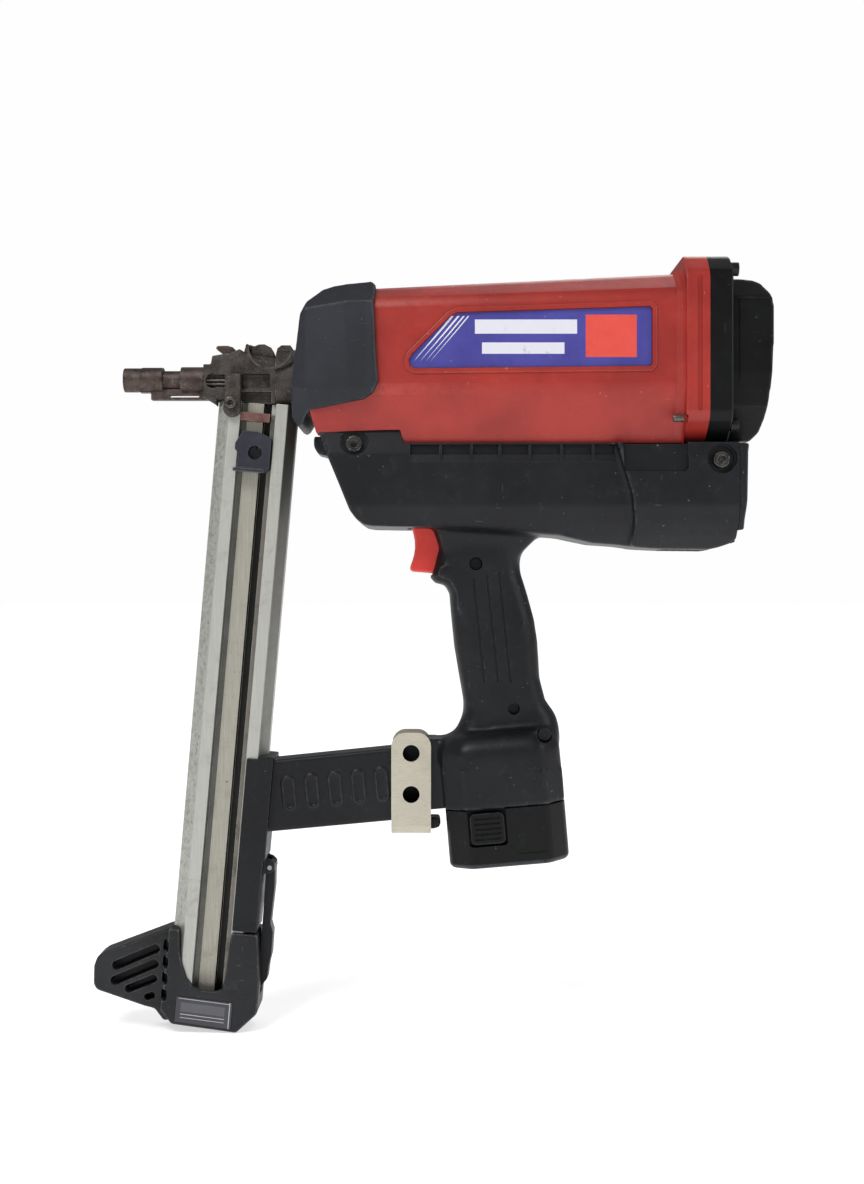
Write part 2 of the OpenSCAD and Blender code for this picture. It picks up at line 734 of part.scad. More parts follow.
module trigger_spring() color([0.7, 0.7, 0.7])
    helix(5, 16, 2.2, 0.4, trigger_x + 22.5, 3.1, 0, trigger_z - 14);

module trigger_switch() color([0.12, 0.12, 0.12]) difference() {
    block(235.6, 252, -7, 7, -121, -99);
    pin(233.5, -122.5, 6.2, -60, 60);
}

module control_board() color([0.1, 0.35, 0.2]) block(200, 275, -22, 22, -88, -86.4);

// ---------- fuel ----------

module fuel_cell() color([0.8, 0.8, 0.82]) {
    bar(cell_x, cell_x + cell_len, cell_r, 0, cell_z);
    bar(cell_x - 3, cell_x, cell_r - 5, 0, cell_z);
}

module metering_valve() color([0.85, 0.85, 0.8]) {
    bar(cell_x - 10, cell_x - 3.1, 9, 0, cell_z);
    block(cell_x - 10, cell_x - 6, -4, 4, cell_z + 8.5, cell_z + 16);
}

// Lugs on the shell that hold the door's pin
module door_lugs() both_sides() difference() {
    across(7.2, 12) union() {
        translate([hinge_x, hinge_z]) circle(r = 3.2);
        polygon([[390, -108.5], [390, -100], [400.8, -101.2], [hinge_x, hinge_z + 3.2],
            [hinge_x + 0.5, hinge_z - 3.1], [396, -109.2]]);
    }
    bar(380, 400.9, cell_r + 1.2, 0, cell_z);
}

module fuel_door() color([0.13, 0.13, 0.14]) difference() {
    union() {
        intersection() {
            across(-60, 60) polygon([
                [401.4, seam_z - 1], [407.8, seam_z - 1], [406.6, -66], [406.3, -82], [405, -95],
                [405.4, -101], [401.4, -101]
            ]);
            along(400, 409) hull_section(hull_half + bay_bulge - 1, 0);
        }
        across(-6.5, 6.5) polygon([
            [401.4, -98], [405.4, -98], [406, -103], [hinge_x + 2.4, hinge_z - 2.4],
            [hinge_x, hinge_z - 3.3],
            [hinge_x - 2.4, hinge_z - 2.4], [hinge_x - 3.2, hinge_z], [401.4, -102]
        ]);
    }
    pin(hinge_x, hinge_z, hinge_r + running, -60, 60);
}

module door_pin() color([0.7, 0.7, 0.7]) pin(hinge_x, hinge_z, hinge_r, -12, 12);

module skid_pad() color([0.05, 0.05, 0.05]) across(-15, 15) polygon([
    [352, -110.95], [384, -111.5], [390, -110], [391.5, -111.4], [385, -113.6], [356, -113.3]
]);

// ---------- battery ----------

module battery_case() color([0.08, 0.08, 0.1]) on_pack() difference() {
    union() {
        hull() {
            translate([0, 0, -pack_drop + 6]) linear_extrude(pack_drop - 6 - fit) base_outline(0);
            translate([0, 0, -pack_drop]) linear_extrude(1) base_outline(5);
        }
        translate([0, 0, -fit]) linear_extrude(stem_rise + fit) base_outline(wall + stem_gap);
    }
    difference() {
        translate([0, 0, -pack_drop + wall]) linear_extrude(pack_drop + stem_rise - 2 * wall)
            base_outline(wall + stem_gap + 2);
        for (s = [-1, 1]) block(latch_x - 14, latch_x + 14, s * pack_wide / 2 - 11,
            s * pack_wide / 2 + 11,
            latch_z - 13, latch_z + 13);
    }
    both_sides() block(latch_x - latch_w / 2 - fit, latch_x + latch_w / 2 + fit,
        -pack_wide / 2 - 1, -pack_wide / 2 + 7, latch_z - latch_h / 2 - fit, latch_z + latch_h / 2 + fit);
}

module battery_cells() color([0.2, 0.5, 0.3]) on_pack() for (x = [-19, 0, 19], y = [-11, 11])
    translate([x, y * 0.86, -pack_drop + wall + 1.5]) cylinder(r = 9, h = 46);

module latch_button(s) on_pack() difference() {
    block(latch_x - latch_w / 2, latch_x + latch_w / 2, s * (pack_wide / 2 - 1.3) - 2.3,
        s * (pack_wide / 2 - 1.3) + 2.3, latch_z - latch_h / 2, latch_z + latch_h / 2);
    for (i = [-2 : 2]) block(latch_x - latch_w / 2 + 2, latch_x + latch_w / 2 - 2,
        s * (pack_wide / 2 + 1.1) - 0.7, s * (pack_wide / 2 + 1.1) + 0.7, latch_z + i * 3.6 - 0.7,
            latch_z + i * 3.6 + 0.7);
}

module contact_block() color([0.2, 0.2, 0.2]) on_pack()
    block(-16, 16, -10, 10, stem_rise + 1, stem_rise + 5);

// ---------- magazine ----------

// The rail's outer form, as [x, y], made larger by grow
function rail_envelope(grow) = [
    [-rail_wide / 2 - grow, -5], [-lobe_flat, -rail_thick / 2 - grow], [20.8, -rail_thick / 2 - grow],
    [rail_wide / 2 + grow, -5], [rail_wide / 2 + grow, rail_thick / 2 - 6],
    [rail_wide / 2 - 5 + grow / 2, rail_thick / 2 + grow],
    [-rail_wide / 2 + 5 - grow / 2, rail_thick / 2 + grow],
    [-rail_wide / 2 - grow, rail_thick / 2 - 6]
];

module rail_section() difference() {
    polygon(rail_envelope(0));
    polygon([
        [channel_lo, -rail_thick], [channel_lo, floor_y], [-6.5, floor_y], [-6.5, floor_y - 3],
        [slot_lo, floor_y - 3], [slot_lo, track_lo], [-8, track_lo], [-8, track_hi], [slot_hi, track_hi],
        [slot_hi, floor_y - 3], [channel_hi, floor_y - 3], [channel_hi, -rail_thick]
    ]);
    polygon([[-rail_wide / 2 + 2.5, -4], [-lobe_flat + 1, -rail_thick / 2 + 3],
        [channel_lo - 2.5, -rail_thick / 2 + 3],
        [channel_lo - 2.5, rail_thick / 2 - 3], [-rail_wide / 2 + 6, rail_thick / 2 - 3],
        [-rail_wide / 2 + 2.5, rail_thick / 2 - 7]]);
    polygon([[rail_wide / 2 - 2.5, -4], [20, -rail_thick / 2 + 3],
        [channel_hi + 2.5, -rail_thick / 2 + 3],
        [channel_hi + 2.5, rail_thick / 2 - 3], [rail_wide / 2 - 6, rail_thick / 2 - 3],
        [rail_wide / 2 - 2.5, rail_thick / 2 - 7]]);
}

module rail_room() on_rail() translate([0, 0, -rail_len - fit]) linear_extrude(rail_len)
    polygon(rail_envelope(fit));

module magazine_rail() color([0.75, 0.75, 0.72]) on_rail() translate([0, 0, -rail_len])
    linear_extrude(rail_len - 2) rail_section();

module guide_strip() color([0.5, 0.48, 0.42]) on_rail()
    block(slot_hi + 0.3, channel_hi - 0.3, floor_y - 4, floor_y - 3.05, -rail_len + 2, -9);

module nail_stop() color([0.6, 0.36, 0.34]) on_rail()
    block(-9.5, 9.2, -rail_thick / 2 + 0.5, floor_y - 3.1, -14.5, -9);

module nail_pusher() color([0.2, 0.2, 0.23]) on_rail() difference() {
    union() {
        across(-push_y - 3, -push_y + 5) polygon([
            [-7, -21.5], [3, -21.5], [12, -25], [12, -45], [9, -48], [-9.2, -48], [-9.2, -36],
            [-11.5, -34], [-11.5, -30]
        ]);
        across(-push_y - 4.5, -push_y - 2.9) polygon([[-11.5, -46], [-11.5, -48.5], [9, -48.5],
            [9, -46]]);
        // tongue through the slot, and the foot behind the nails
        block(slot_lo + 0.4, slot_hi - 0.4, -push_y + 4.9, track_hi - 0.4, -47, -41);
        block(-6, slot_hi - 0.4, track_lo + 0.4, track_hi - 0.4, -47, -41);
    }
    pin(2, -35.5, 4.6, -push_y - 10, -push_y + 3.5);
    block(-20, channel_lo + fit, -push_y - 0.4, -push_y + 6, -60, 0);
    block(1.8, 9.6, -push_y + 3.2, -push_y + 6, -32, -24.5);
}

module feed_spring() color([0.6, 0.6, 0.6]) on_rail() difference() {
    pin(5.8, -28.2, 3.2, -push_y + 3.3, -push_y + 6.5);
    pin(5.8, -28.2, 1.6, -push_y + 2, -push_y + 7);
}

shoe_half = rail_thick / 2 + 2.5;
wing_half = 12;

// The foot's slatted wing, in front of the rail
module foot_wing() polygon([
    [-27, -351], [-70, -371.5], [-74.1, -374.5], [-75.7, -381], [-75, -393], [-72.5, -396.5],
    [-34.7, -405.4], [-30, -405.4], [-27, -402]
]);

module magazine_foot() color([0.16, 0.16, 0.17]) on_rail() difference() {
    union() {
        across(-shoe_half, shoe_half) polygon([
            [-27.9, -350.5], [-29.2, -404.5], [-20.9, -413.2], [21.9, -415.5], [34.5, -402], [34.5, -383],
            [30.4, saddle_low - 1], [13.2, saddle_low - 1], [10.8, -388], [-6, -388], [-15, -380],
            [-19, -368],
            [-21.4, -350]
        ]);
        across(-wing_half, wing_half) foot_wing();
    }
    translate([0, 0, -rail_len - fit]) linear_extrude(rail_len) polygon(rail_envelope(fit));
    block(28, 42, -7, 7, -392, -340);
    for (i = [0 : 2]) across(-20, 20) polygon([
        [-36.5, -366 - i * 10.5], [-64.5 + i * 4, -377.5 - i * 8.6], [-63.5 + i * 5, -382.5 - i * 7.5],
        [-36, -371.5 - i * 11.5]
    ]);
    for (i = [0 : 3]) block(-33, -29.5, -20, -wing_half + 2, -367 - i * 10.6, -361 - i * 10.6);
}

module foot_label() color([0.3, 0.3, 0.32]) on_rail() across(-shoe_half - skin, -shoe_half - 0.02)
    polygon([
    [-18.6, -394.5], [-18.6, -411], [18, -413], [18, -396]
]);

module magazine_bracket() color([0.14, 0.14, 0.15]) difference() {
    union() {
        on_rail() across(-shoe_half, shoe_half) polygon([
            [14, saddle_top - 2], [14, saddle_low], [30, saddle_low], [30, -301], [31, -301],
            [31, saddle_top], [22, saddle_top]
        ]);
        // lugs of the latch's pin
        on_rail() both_sides() across(6.9, 10) polygon([
            [29, -301], [34, -301.5], [37, -304], [37.6, -308], [35, -310.6], [29, -312]
        ]);
        across(-arm_half, arm_half) polygon([
            [94, -252.3], [arm_end_x, -241.5], [arm_end_x, -289.5], [91, -299.6]
        ]);
        for (i = [0 : 4]) both_sides() translate([110.5 + i * 15.3, 0, -273.5 + i * 1.45])
            rotate([0, -5.3, 0]) {
                pin(0, 7, 4.2, arm_half - 0.2, arm_half + 0.8);
                pin(0, -7, 4.2, arm_half - 0.2, arm_half + 0.8);
                block(-4.2, 4.2, arm_half - 0.2, arm_half + 0.8, -7, 7);
            }
    }
    rail_room();
    for (z = [clip_z - clip_hole_gap / 2, clip_z + clip_hole_gap / 2])
        pin(clip_x, z, clip_hole_r + 1, -arm_half - 2, arm_half - 3);
    on_rail() pin(latch_pivot_x, latch_pivot_z, 1.52, -60, 60);
    on_rail() block(31.1, 42, -6.9, 6.9, -400, -290);
}

module clip_face() difference() {
    union() {
        translate([clip_x - clip_w / 2, clip_low + 9])
            square([clip_w, clip_top - clip_low - 9 - clip_w / 2]);
        translate([clip_x, clip_top - clip_w / 2]) circle(r = clip_w / 2);
    }
}

module hanger_clip() color([0.75, 0.73, 0.66]) {
    outer = arm_half + fit + clip_sheet;
    difference() {
        union() {
            across(-outer, -arm_half - fit) clip_face();
            across(arm_half + fit, outer) clip_face();
            along(clip_x - clip_w / 2, clip_x + clip_w / 2) difference() {
                polygon([[-outer, clip_low + 9], [-outer, clip_low + 5], [-outer + 5, clip_low],
                    [outer - 5, clip_low], [outer, clip_low + 5], [outer, clip_low + 9]]);
                polygon([[-outer + clip_sheet, clip_low + 10], [-outer + clip_sheet, clip_low + 6],
                    [-outer + 6, clip_low + clip_sheet], [outer - 6, clip_low + clip_sheet],
                    [outer - clip_sheet, clip_low + 6], [outer - clip_sheet, clip_low + 10]]);
            }
        }
        for (z = [clip_z - clip_hole_gap / 2, clip_z + clip_hole_gap / 2])
            pin(clip_x, z, clip_hole_r, -outer - 1, 0);
    }
}

module foot_latch() color([0.1, 0.1, 0.11]) on_rail() difference() {
    union() {
        across(-6.5, 6.5) polygon([
            [31.4, -309], [31.6, -304.5], [34.3, -303], [37.2, -304.5], [38.1, -320],
            [37.4, -344.3], [39.5, -349.7],
            [39.8, -365], [38.7, -372], [38.3, -381], [34.4, -386.8], [32.3, -381.4], [32.3, -350]
        ]);
    }
    pin(latch_pivot_x, latch_pivot_z, 1.5 + running, -60, 60);
}

module latch_pin() color([0.7, 0.7, 0.7]) on_rail()
    pin(latch_pivot_x, latch_pivot_z, 1.5, -10, 10);

// ---------- which node to draw ----------

left_handle_shell();
right_handle_shell();
upper_housing();
front_bumper();
rear_plate();
rear_cap();
air_filter();
plate_screws();
housing_bolts();
handle_screws();
cylinder_tube();  // cylinder
piston_stop();
cylinder_head();
fan_motor();
spark_plug();
nose_mount();
nose_barrel();
nose_block();
nose_clamp();
nose_screw();
nose_catch();
bail_lugs();
fuel_cell();
metering_valve();
contact_block();
control_board();
trigger_switch();
magazine_rail();
guide_strip();
nail_stop();
magazine_foot();
magazine_bracket();
hanger_clip();
skid_pad();
door_pin();
latch_pin();
side_labels();
foot_label();
chamber_spring();
trigger_spring();
contact_tip();
contact_arm();
linkage_yoke();
combustion_sleeve();
piston();
driver_blade();
piston_rings();
fan();
trigger();
nail_pusher();
feed_spring();
battery_case();
battery_cells();
color([0.16, 0.16, 0.17]) latch_button(-1);  // battery_latch_left
color([0.16, 0.16, 0.17]) latch_button(1);  // battery_latch_right
fuel_door();
foot_latch();
wire_bail();
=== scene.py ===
import bpy, bmesh, math
from mathutils import Matrix, Vector


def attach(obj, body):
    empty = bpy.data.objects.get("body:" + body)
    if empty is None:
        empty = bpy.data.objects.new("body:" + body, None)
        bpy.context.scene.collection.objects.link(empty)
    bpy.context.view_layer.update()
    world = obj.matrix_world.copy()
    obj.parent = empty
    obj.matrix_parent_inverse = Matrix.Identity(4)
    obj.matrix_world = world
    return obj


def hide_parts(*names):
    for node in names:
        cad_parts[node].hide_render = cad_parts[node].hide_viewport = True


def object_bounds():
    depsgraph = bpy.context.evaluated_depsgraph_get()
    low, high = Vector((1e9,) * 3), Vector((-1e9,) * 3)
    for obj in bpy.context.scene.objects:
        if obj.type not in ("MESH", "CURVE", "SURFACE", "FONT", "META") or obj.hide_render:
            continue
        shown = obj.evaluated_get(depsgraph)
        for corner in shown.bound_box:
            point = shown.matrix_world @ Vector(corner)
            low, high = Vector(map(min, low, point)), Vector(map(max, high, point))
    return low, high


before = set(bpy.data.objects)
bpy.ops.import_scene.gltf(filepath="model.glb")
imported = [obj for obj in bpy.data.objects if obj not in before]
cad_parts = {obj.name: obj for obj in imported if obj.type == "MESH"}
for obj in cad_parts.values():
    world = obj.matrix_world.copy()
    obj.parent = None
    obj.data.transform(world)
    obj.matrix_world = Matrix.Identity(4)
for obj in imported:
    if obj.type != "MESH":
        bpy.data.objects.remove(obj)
cad_low, cad_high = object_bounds()
scene = bpy.context.scene
MM = 0.001


# ---------- camera and lights -----------------

def put_camera():
    lens = bpy.data.cameras.new("camera")
    lens.lens = 18 / math.tan(math.radians(43.07 / 2))
    lens.clip_start = 0.05
    camera = bpy.data.objects.new("camera", lens)
    camera.location = (0.2047, -1.0, -0.141)
    camera.rotation_euler = (math.radians(90), 0, 0)
    scene.collection.objects.link(camera)
    scene.camera = camera


def soft_light(name, spot, aim, size, watts):
    """A square soft box at spot, turned towards aim."""
    lamp = bpy.data.lights.new(name, "AREA")
    lamp.size, lamp.energy = size, watts
    box = bpy.data.objects.new(name, lamp)
    box.location = spot
    box.rotation_euler = (Vector(aim) - Vector(spot)).to_track_quat("-Z", "Y").to_euler()
    scene.collection.objects.link(box)


def light_studio():
    """Soft light from a big box in front and smaller ones beside and behind."""
    studio = bpy.data.worlds.new("studio")
    studio.use_nodes = True
    tree = studio.node_tree
    seen = tree.nodes.new("ShaderNodeLightPath")
    strength = tree.nodes.new("ShaderNodeMapRange")
    tree.links.new(seen.outputs["Is Camera Ray"], strength.inputs["Value"])
    strength.inputs["To Min"].default_value, strength.inputs["To Max"].default_value = 0.24, 0.99
    tree.nodes["Background"].inputs["Color"].default_value = (1, 1, 1, 1)
    tree.links.new(strength.outputs["Result"], tree.nodes["Background"].inputs["Strength"])
    scene.world = studio
    scene.view_settings.view_transform = "Standard"
    middle = (0.22, 0, -0.15)
    soft_light("key", (-0.5, -1.2, 1.3), middle, 0.8, 22)
    soft_light("side", (1.6, -0.8, 0.5), middle, 0.5, 6)
    soft_light("rim", (0.6, 1.2, 1.2), middle, 0.9, 8)


# ---------- shader sums ----------

class Socket:
    """A shader value that takes part in ordinary sums."""

    def __init__(self, finish, link):
        self.finish, self.link = finish, link

    def sum(self, operation, a, b=0.0):
        return self.finish.node("ShaderNodeMath", {"operation": operation}, {0: a, 1: b})

    def __add__(self, other): return self.sum("ADD", self, other)
    def __sub__(self, other): return self.sum("SUBTRACT", self, other)
    def __rsub__(self, other): return self.sum("SUBTRACT", other, self)
    def __mul__(self, other): return self.sum("MULTIPLY", self, other)
    def __gt__(self, other): return self.sum("GREATER_THAN", self, other)
    def __lt__(self, other): return self.sum("LESS_THAN", self, other)
    __radd__, __rmul__ = __add__, __mul__


class Finish:
    """One surface finish. Sizes are in millimetres."""

    def __init__(self, name):
        self.material = bpy.data.materials.new(name)
        self.material.use_nodes = True
        self.tree = self.material.node_tree
        self.shader = self.tree.nodes["Principled BSDF"]
        self.place = self.node("ShaderNodeTexCoord", out="Object")

    def node(self, kind, settings=None, sockets=None, out=0):
        """Any node, from its type, its settings and its sockets' values or links."""
        made = self.tree.nodes.new(kind)
        for key, value in (settings or {}).items():
            setattr(made, key, value)
        for key, value in (sockets or {}).items():
            if isinstance(value, Socket):
                self.tree.links.new(value.link, made.inputs[key])
            else:
                made.inputs[key].default_value = value
        return Socket(self, made.outputs[out])

    def noise(self, size, detail=3.0, rough=0.55, warp=0.0, place=None):
        """Cloudy noise with features about this size."""
        return self.node("ShaderNodeTexNoise", {}, {"Vector": place or self.place, "Scale": 1 / (size * MM),
                                                    "Detail": detail, "Roughness": rough,
                                                    "Distortion": warp})

    def stretched(self, x, y, z, turn=(0, 0, 0)):
        """Object coordinates with features drawn out this many times along each axis."""
        return self.node("ShaderNodeMapping", {}, {"Vector": self.place, "Rotation": turn,
                                                   "Scale": (1 / x, 1 / y, 1 / z)})

    def rise(self, value, low, high):
        """0 where value is under low and 1 where it is over high, with a smooth step between."""
        return self.node("ShaderNodeMapRange", {"interpolation_type": "SMOOTHSTEP"},
                         {"Value": value, "From Min": low, "From Max": high})

    def mix(self, share, a, b):
        """Colour a where share is 0 and colour b where it is 1."""
        return self.node("ShaderNodeMix", {"data_type": "RGBA"}, {0: share, 6: a, 7: b}, out=2)

    def wear(self):
        """1 on the crests of the piece's edges, broken up by noise."""
        crest = self.node("ShaderNodeAttribute", {"attribute_name": "wear"}, out="Fac")
        return self.rise(crest * (self.noise(5, 4) + self.noise(1.2, 2) * 0.6), 0.42, 0.85)

    def edge(self, reach):
        """1 along the sharp edges of a piece that has no rounding of its own."""
        soft = self.node("ShaderNodeBevel", {"samples": 4}, {"Radius": reach * MM})
        flat = self.node("ShaderNodeNewGeometry", out="Normal")
        turn = self.node("ShaderNodeVectorMath", {"operation": "DOT_PRODUCT"}, {0: soft, 1: flat},
                         out="Value")
        return self.rise(1 - turn, 0.015, 0.2)

    def bump(self, *layers):
        """Relief from pairs of height and depth in millimetres, on the Normal socket."""
        height = 0.0
        for value, depth in layers:
            height = value * (depth * MM) + height
        lift = self.node("ShaderNodeBump", {}, {"Height": height, "Distance": 1.0, "Strength": 1.0},
                         out="Normal")
        self.put("Normal", lift)

    def put(self, socket, value):
        if isinstance(value, Socket):
            self.tree.links.new(value.link, self.shader.inputs[socket])
        else:
            self.shader.inputs[socket].default_value = value


def paint(r, g, b):
    """A screen colour, 0 to 255, as the light it reflects."""
    return tuple((c / 255 / 12.92 if c < 11 else ((c / 255 + 0.055) / 1.055) ** 2.4)
                 for c in (r, g, b)) + (1,)


# ---------- finishes ----------

def moulded(name, tone, pale, rough=0.5, dust=1.0, grain=0.03, deep=None, gloss=0.3, rubbed=0.3):
    """Injection moulding: slow colour drift, dust, scuffs, whitened edges and a fine grain."""
    f = Finish(name)
    drift = f.rise(f.noise(45, 3, 0.6), 0.3, 0.7)
    colour = f.mix(drift, deep or tuple(c * 0.82 for c in tone[:3]) + (1,), tone)
    haze = f.rise(f.noise(9, 7, 0.75, 0.6), 0.52, 0.8) * 0.09 * dust
    colour = f.mix(haze, colour, pale)
    hair = f.rise(f.noise(1.6, 2, 0.5, 0, f.stretched(9, 1, 1, (0.3, 0.5, 0.2))), 0.69, 0.74)
    cross = f.rise(f.noise(1.6, 2, 0.5, 0, f.stretched(1, 1, 11, (0.1, 0.7, 0))), 0.7, 0.75)
    patch = f.rise(f.noise(24, 2), 0.52, 0.66)
    speck = f.rise(f.noise(2.2, 1, 0.3), 0.76, 0.79) * f.rise(f.noise(11, 2), 0.45, 0.6)
    marks = (hair + cross) * patch * 0.26 + speck * 0.6
    colour = f.mix(marks * dust, colour, pale)
    crest = f.wear()
    colour = f.mix(crest * rubbed, colour, pale)
    f.put("Base Color", colour)
    f.put("Roughness", rough + (f.noise(9, 4) - 0.5) * 0.22 + marks * 0.2 + haze * 0.5)
    f.put("Specular IOR Level", gloss)
    f.bump((f.noise(0.45, 2), grain), (f.noise(6, 3), grain * 1.6), (marks, -0.02))
    return f.material


def steel(name, tone, dark, rust=0.3, metal=0.75, rough=0.48, lumps=0.08, pale=None, edge=0.7):
    """Cast or machined steel that has run hot and dirty."""
    f = Finish(name)
    burnt = f.rise(f.noise(9, 5, 0.65, 0.4), 0.35, 0.68)
    colour = f.mix(burnt, tone, dark)
    brown = f.rise(f.noise(5, 6, 0.75, 0.3), 0.52, 0.72) * rust
    colour = f.mix(brown, colour, paint(112, 76, 58))
    grit = f.rise(f.noise(0.9, 2, 0.6), 0.6, 0.72) * f.rise(f.noise(6, 3), 0.4, 0.62)
    colour = f.mix(grit * 0.6, colour, pale or paint(150, 142, 134))
    soot = f.rise(f.noise(2.4, 4, 0.7), 0.62, 0.78)
    colour = f.mix(soot * 0.8, colour, paint(22, 19, 18))
    rub = f.edge(0.9) * f.rise(f.noise(2.5, 3), 0.35, 0.6)
    colour = f.mix(rub * edge, colour, pale or paint(158, 148, 138))
    f.put("Base Color", colour)
    f.put("Metallic", metal - brown * 0.7 - soot * 0.4 - grit * 0.3)
    f.put("Roughness", rough + (f.noise(4, 4) - 0.5) * 0.3 + brown * 0.2 + soot * 0.15 - rub * 0.12)
    f.bump((f.noise(1.1, 4, 0.65), lumps), (f.noise(4, 3), lumps * 1.5))
    return f.material


def bright(name, tone, dirt, metal=0.85, rough=0.35, lines=(1, 1, 30), specks=1.0, grime=0.35,
           channel=False):
    """Bare light metal with drawn lines and specks. On the rail, painted shade and dirt darken its channel,
    and painted shade its rear flank.
    """
    f = Finish(name)
    drawn = f.noise(0.8, 4, 0.6, 0, f.stretched(*lines))
    colour = f.mix(f.rise(drawn, 0.3, 0.7) * 0.35, tone, tuple(c * 0.72 for c in tone[:3]) + (1,))
    stain = f.rise(f.noise(16, 6, 0.7, 0.5), 0.5, 0.74) * grime
    colour = f.mix(stain, colour, dirt)
    if channel:
        x, y, z = in_rail(f)
        deep = (y > -13.5) * (y < 4)
        beige = deep * (x > -6.6) * (x < 4.3)
        colour = f.mix(beige * (0.25 + f.rise(drawn, 0.3, 0.7) * 0.35), colour, paint(150, 142, 118))
        # The strip is painted darker towards its lower end.
        lower_strip_dark = f.rise(z + f.noise(20, 3) * 60, -330, -385) * beige * 0.75
        colour = f.mix(lower_strip_dark, colour, paint(58, 52, 42))
        # Painted shade: the channel's side wall is darkened as if it lay in shadow.
        wall = deep * (x < -6.4) * (x > -11)
        colour = f.mix(wall * (0.45 + f.noise(14, 4) * 0.3), colour, paint(46, 46, 42))
        # Painted shade and dark dirt: the slot beside the strip is painted near-black, as it lies in
        # shadow.
        soot = deep * (x > 4.2) * (x < 9.7)
        colour = f.mix(soot * 0.94, colour, paint(17, 16, 14))
        # Painted shade: the rear flank is darkened as if turned from the light, more so towards the top,
        # over its darker metal.
        shaded_flank = (y < 0) * f.rise(x, 20.2, 21.5)
        colour = f.mix(shaded_flank * (0.5 + f.rise(z, -300, -10) * 0.35), colour, paint(60, 57, 50))
        crust = (y < 0) * (1 - f.rise(x, -19.5, -17.5)) * f.rise(f.noise(3, 6, 0.8), 0.42, 0.72)
        colour = f.mix(crust * 0.7, colour, paint(86, 82, 74))
    dot = f.rise(f.noise(1.5, 3, 0.7), 0.66, 0.72) * f.rise(f.noise(9, 3), 0.4, 0.6)
    fine = f.rise(f.noise(0.6, 2), 0.68, 0.74) * f.rise(f.noise(14, 2), 0.42, 0.6) * 0.7
    colour = f.mix((dot + fine) * specks, colour, paint(52, 48, 42))
    rub = f.edge(0.7) * f.rise(f.noise(3, 3), 0.3, 0.6)
    colour = f.mix(rub * 0.5, colour, paint(226, 224, 218))
    f.put("Base Color", colour)
    f.put("Metallic", metal - (dot + fine) * specks * 0.5 - stain * 0.5)
    f.put("Roughness", rough + (f.noise(5, 4) - 0.5) * 0.25 + (dot + stain) * 0.3)
    f.bump((drawn, 0.02), (f.noise(0.7, 3), 0.012), (dot, -0.03))
    return f.material


def side_print(name):
    """Blue film with pale slanted stripes at its pointed end and a red square at the other."""
    f = Finish(name)
    split = f.node("ShaderNodeSeparateXYZ", {}, {0: f.place}, out="X")
    x = split * 1000
    z = Socket(f, split.link.node.outputs["Z"]) * 1000
    blue = f.mix(f.rise(f.noise(30, 3), 0.3, 0.7), paint(60, 58, 136), paint(70, 68, 150))
    slant = x - z * 0.83
    taper = 0.2 + f.rise(z, 6, 30) * 0.8
    stripes = 0.0
    for start, thick in ((188.2, 1.7), (192.2, 1.4), (195.7, 1.15), (198.8, 0.9)):
        stripes = (slant > start) * (slant < taper * thick + start) + stripes
    reach = f.rise(z, 5.5, 9) * (z < 34.6)
    bars = ((x > 232) * (x < 297) * (z > 23.4) * (z < 32.4)
            + (x > 236.5) * (x < 289) * (z > 10.6) * (z < 17.8))
    colour = f.mix(stripes * reach * 0.92 + bars * 0.86, blue, paint(226, 226, 232))
    square = (x > 302.5) * (x < 335) * (z > 8.5) * (z < 35.5)
    colour = f.mix(square, colour, f.mix(f.noise(12, 3), paint(206, 70, 60), paint(222, 82, 70)))
    chips = f.rise(f.noise(1.6, 3, 0.7), 0.69, 0.73) * f.rise(f.noise(14, 2), 0.45, 0.58)
    colour = f.mix(chips * 0.9, colour, paint(186, 176, 150))
    grime = f.rise(f.noise(7, 5, 0.7), 0.58, 0.76) * 0.3
    colour = f.mix(grime, colour, paint(40, 34, 44))
    f.put("Base Color", colour)
    f.put("Roughness", 0.36 + (f.noise(6, 3) - 0.5) * 0.2 + chips * 0.3)
    f.bump((f.noise(8, 3), 0.03), (chips, -0.06), (f.noise(0.5, 2), 0.006))
    return f.material


def in_rail(f):
    """The rail's own x, y and z in millimetres."""
    moved = f.node("ShaderNodeMapping", {}, {"Vector": f.place, "Location": (-0.0898, 0, 0.0143)})
    turned = f.node("ShaderNodeMapping", {}, {"Vector": moved, "Rotation": (0, math.radians(-4.9), 0)})
    split = f.node("ShaderNodeSeparateXYZ", {}, {0: turned}, out="X")
    return [Socket(f, split.link.node.outputs[axis]) * 1000 for axis in "XYZ"]


def foot_print(name):
    """Dark film with a thin pale border, a plain block and two rules."""
    f = Finish(name)
    x, y, z = in_rail(f)
    z = z + x * 0.045
    dark = f.mix(f.noise(12, 3), paint(52, 52, 58), paint(70, 70, 76))
    inside = (x > -17.2) * (x < 16.4)
    rules = ((z > -406.6) * (z < -406.1) + (z > -408.8) * (z < -408.4)) * (x > -15.5) * (x < 13.5)
    border = (x > 16.2) * (x < 16.8) + (z > -396.4) * (z < -396.0) * inside
    pale = paint(196, 196, 200)
    blocks = (z > -404.6) * (z < -398.6) * (x > -15.5) * (x < 13.5)
    colour = f.mix((rules + border) * 0.85, dark, pale)
    colour = f.mix(blocks * 0.35, colour, paint(120, 120, 128))
    scuff = f.rise(f.noise(3, 5, 0.7), 0.58, 0.7) * 0.5
    colour = f.mix(scuff, colour, paint(44, 44, 48))
    f.put("Base Color", colour)
    f.put("Roughness", 0.42 + (f.noise(5, 3) - 0.5) * 0.2)
    f.bump((f.noise(0.5, 2), 0.008), (f.noise(6, 3), 0.03))
    return f.material


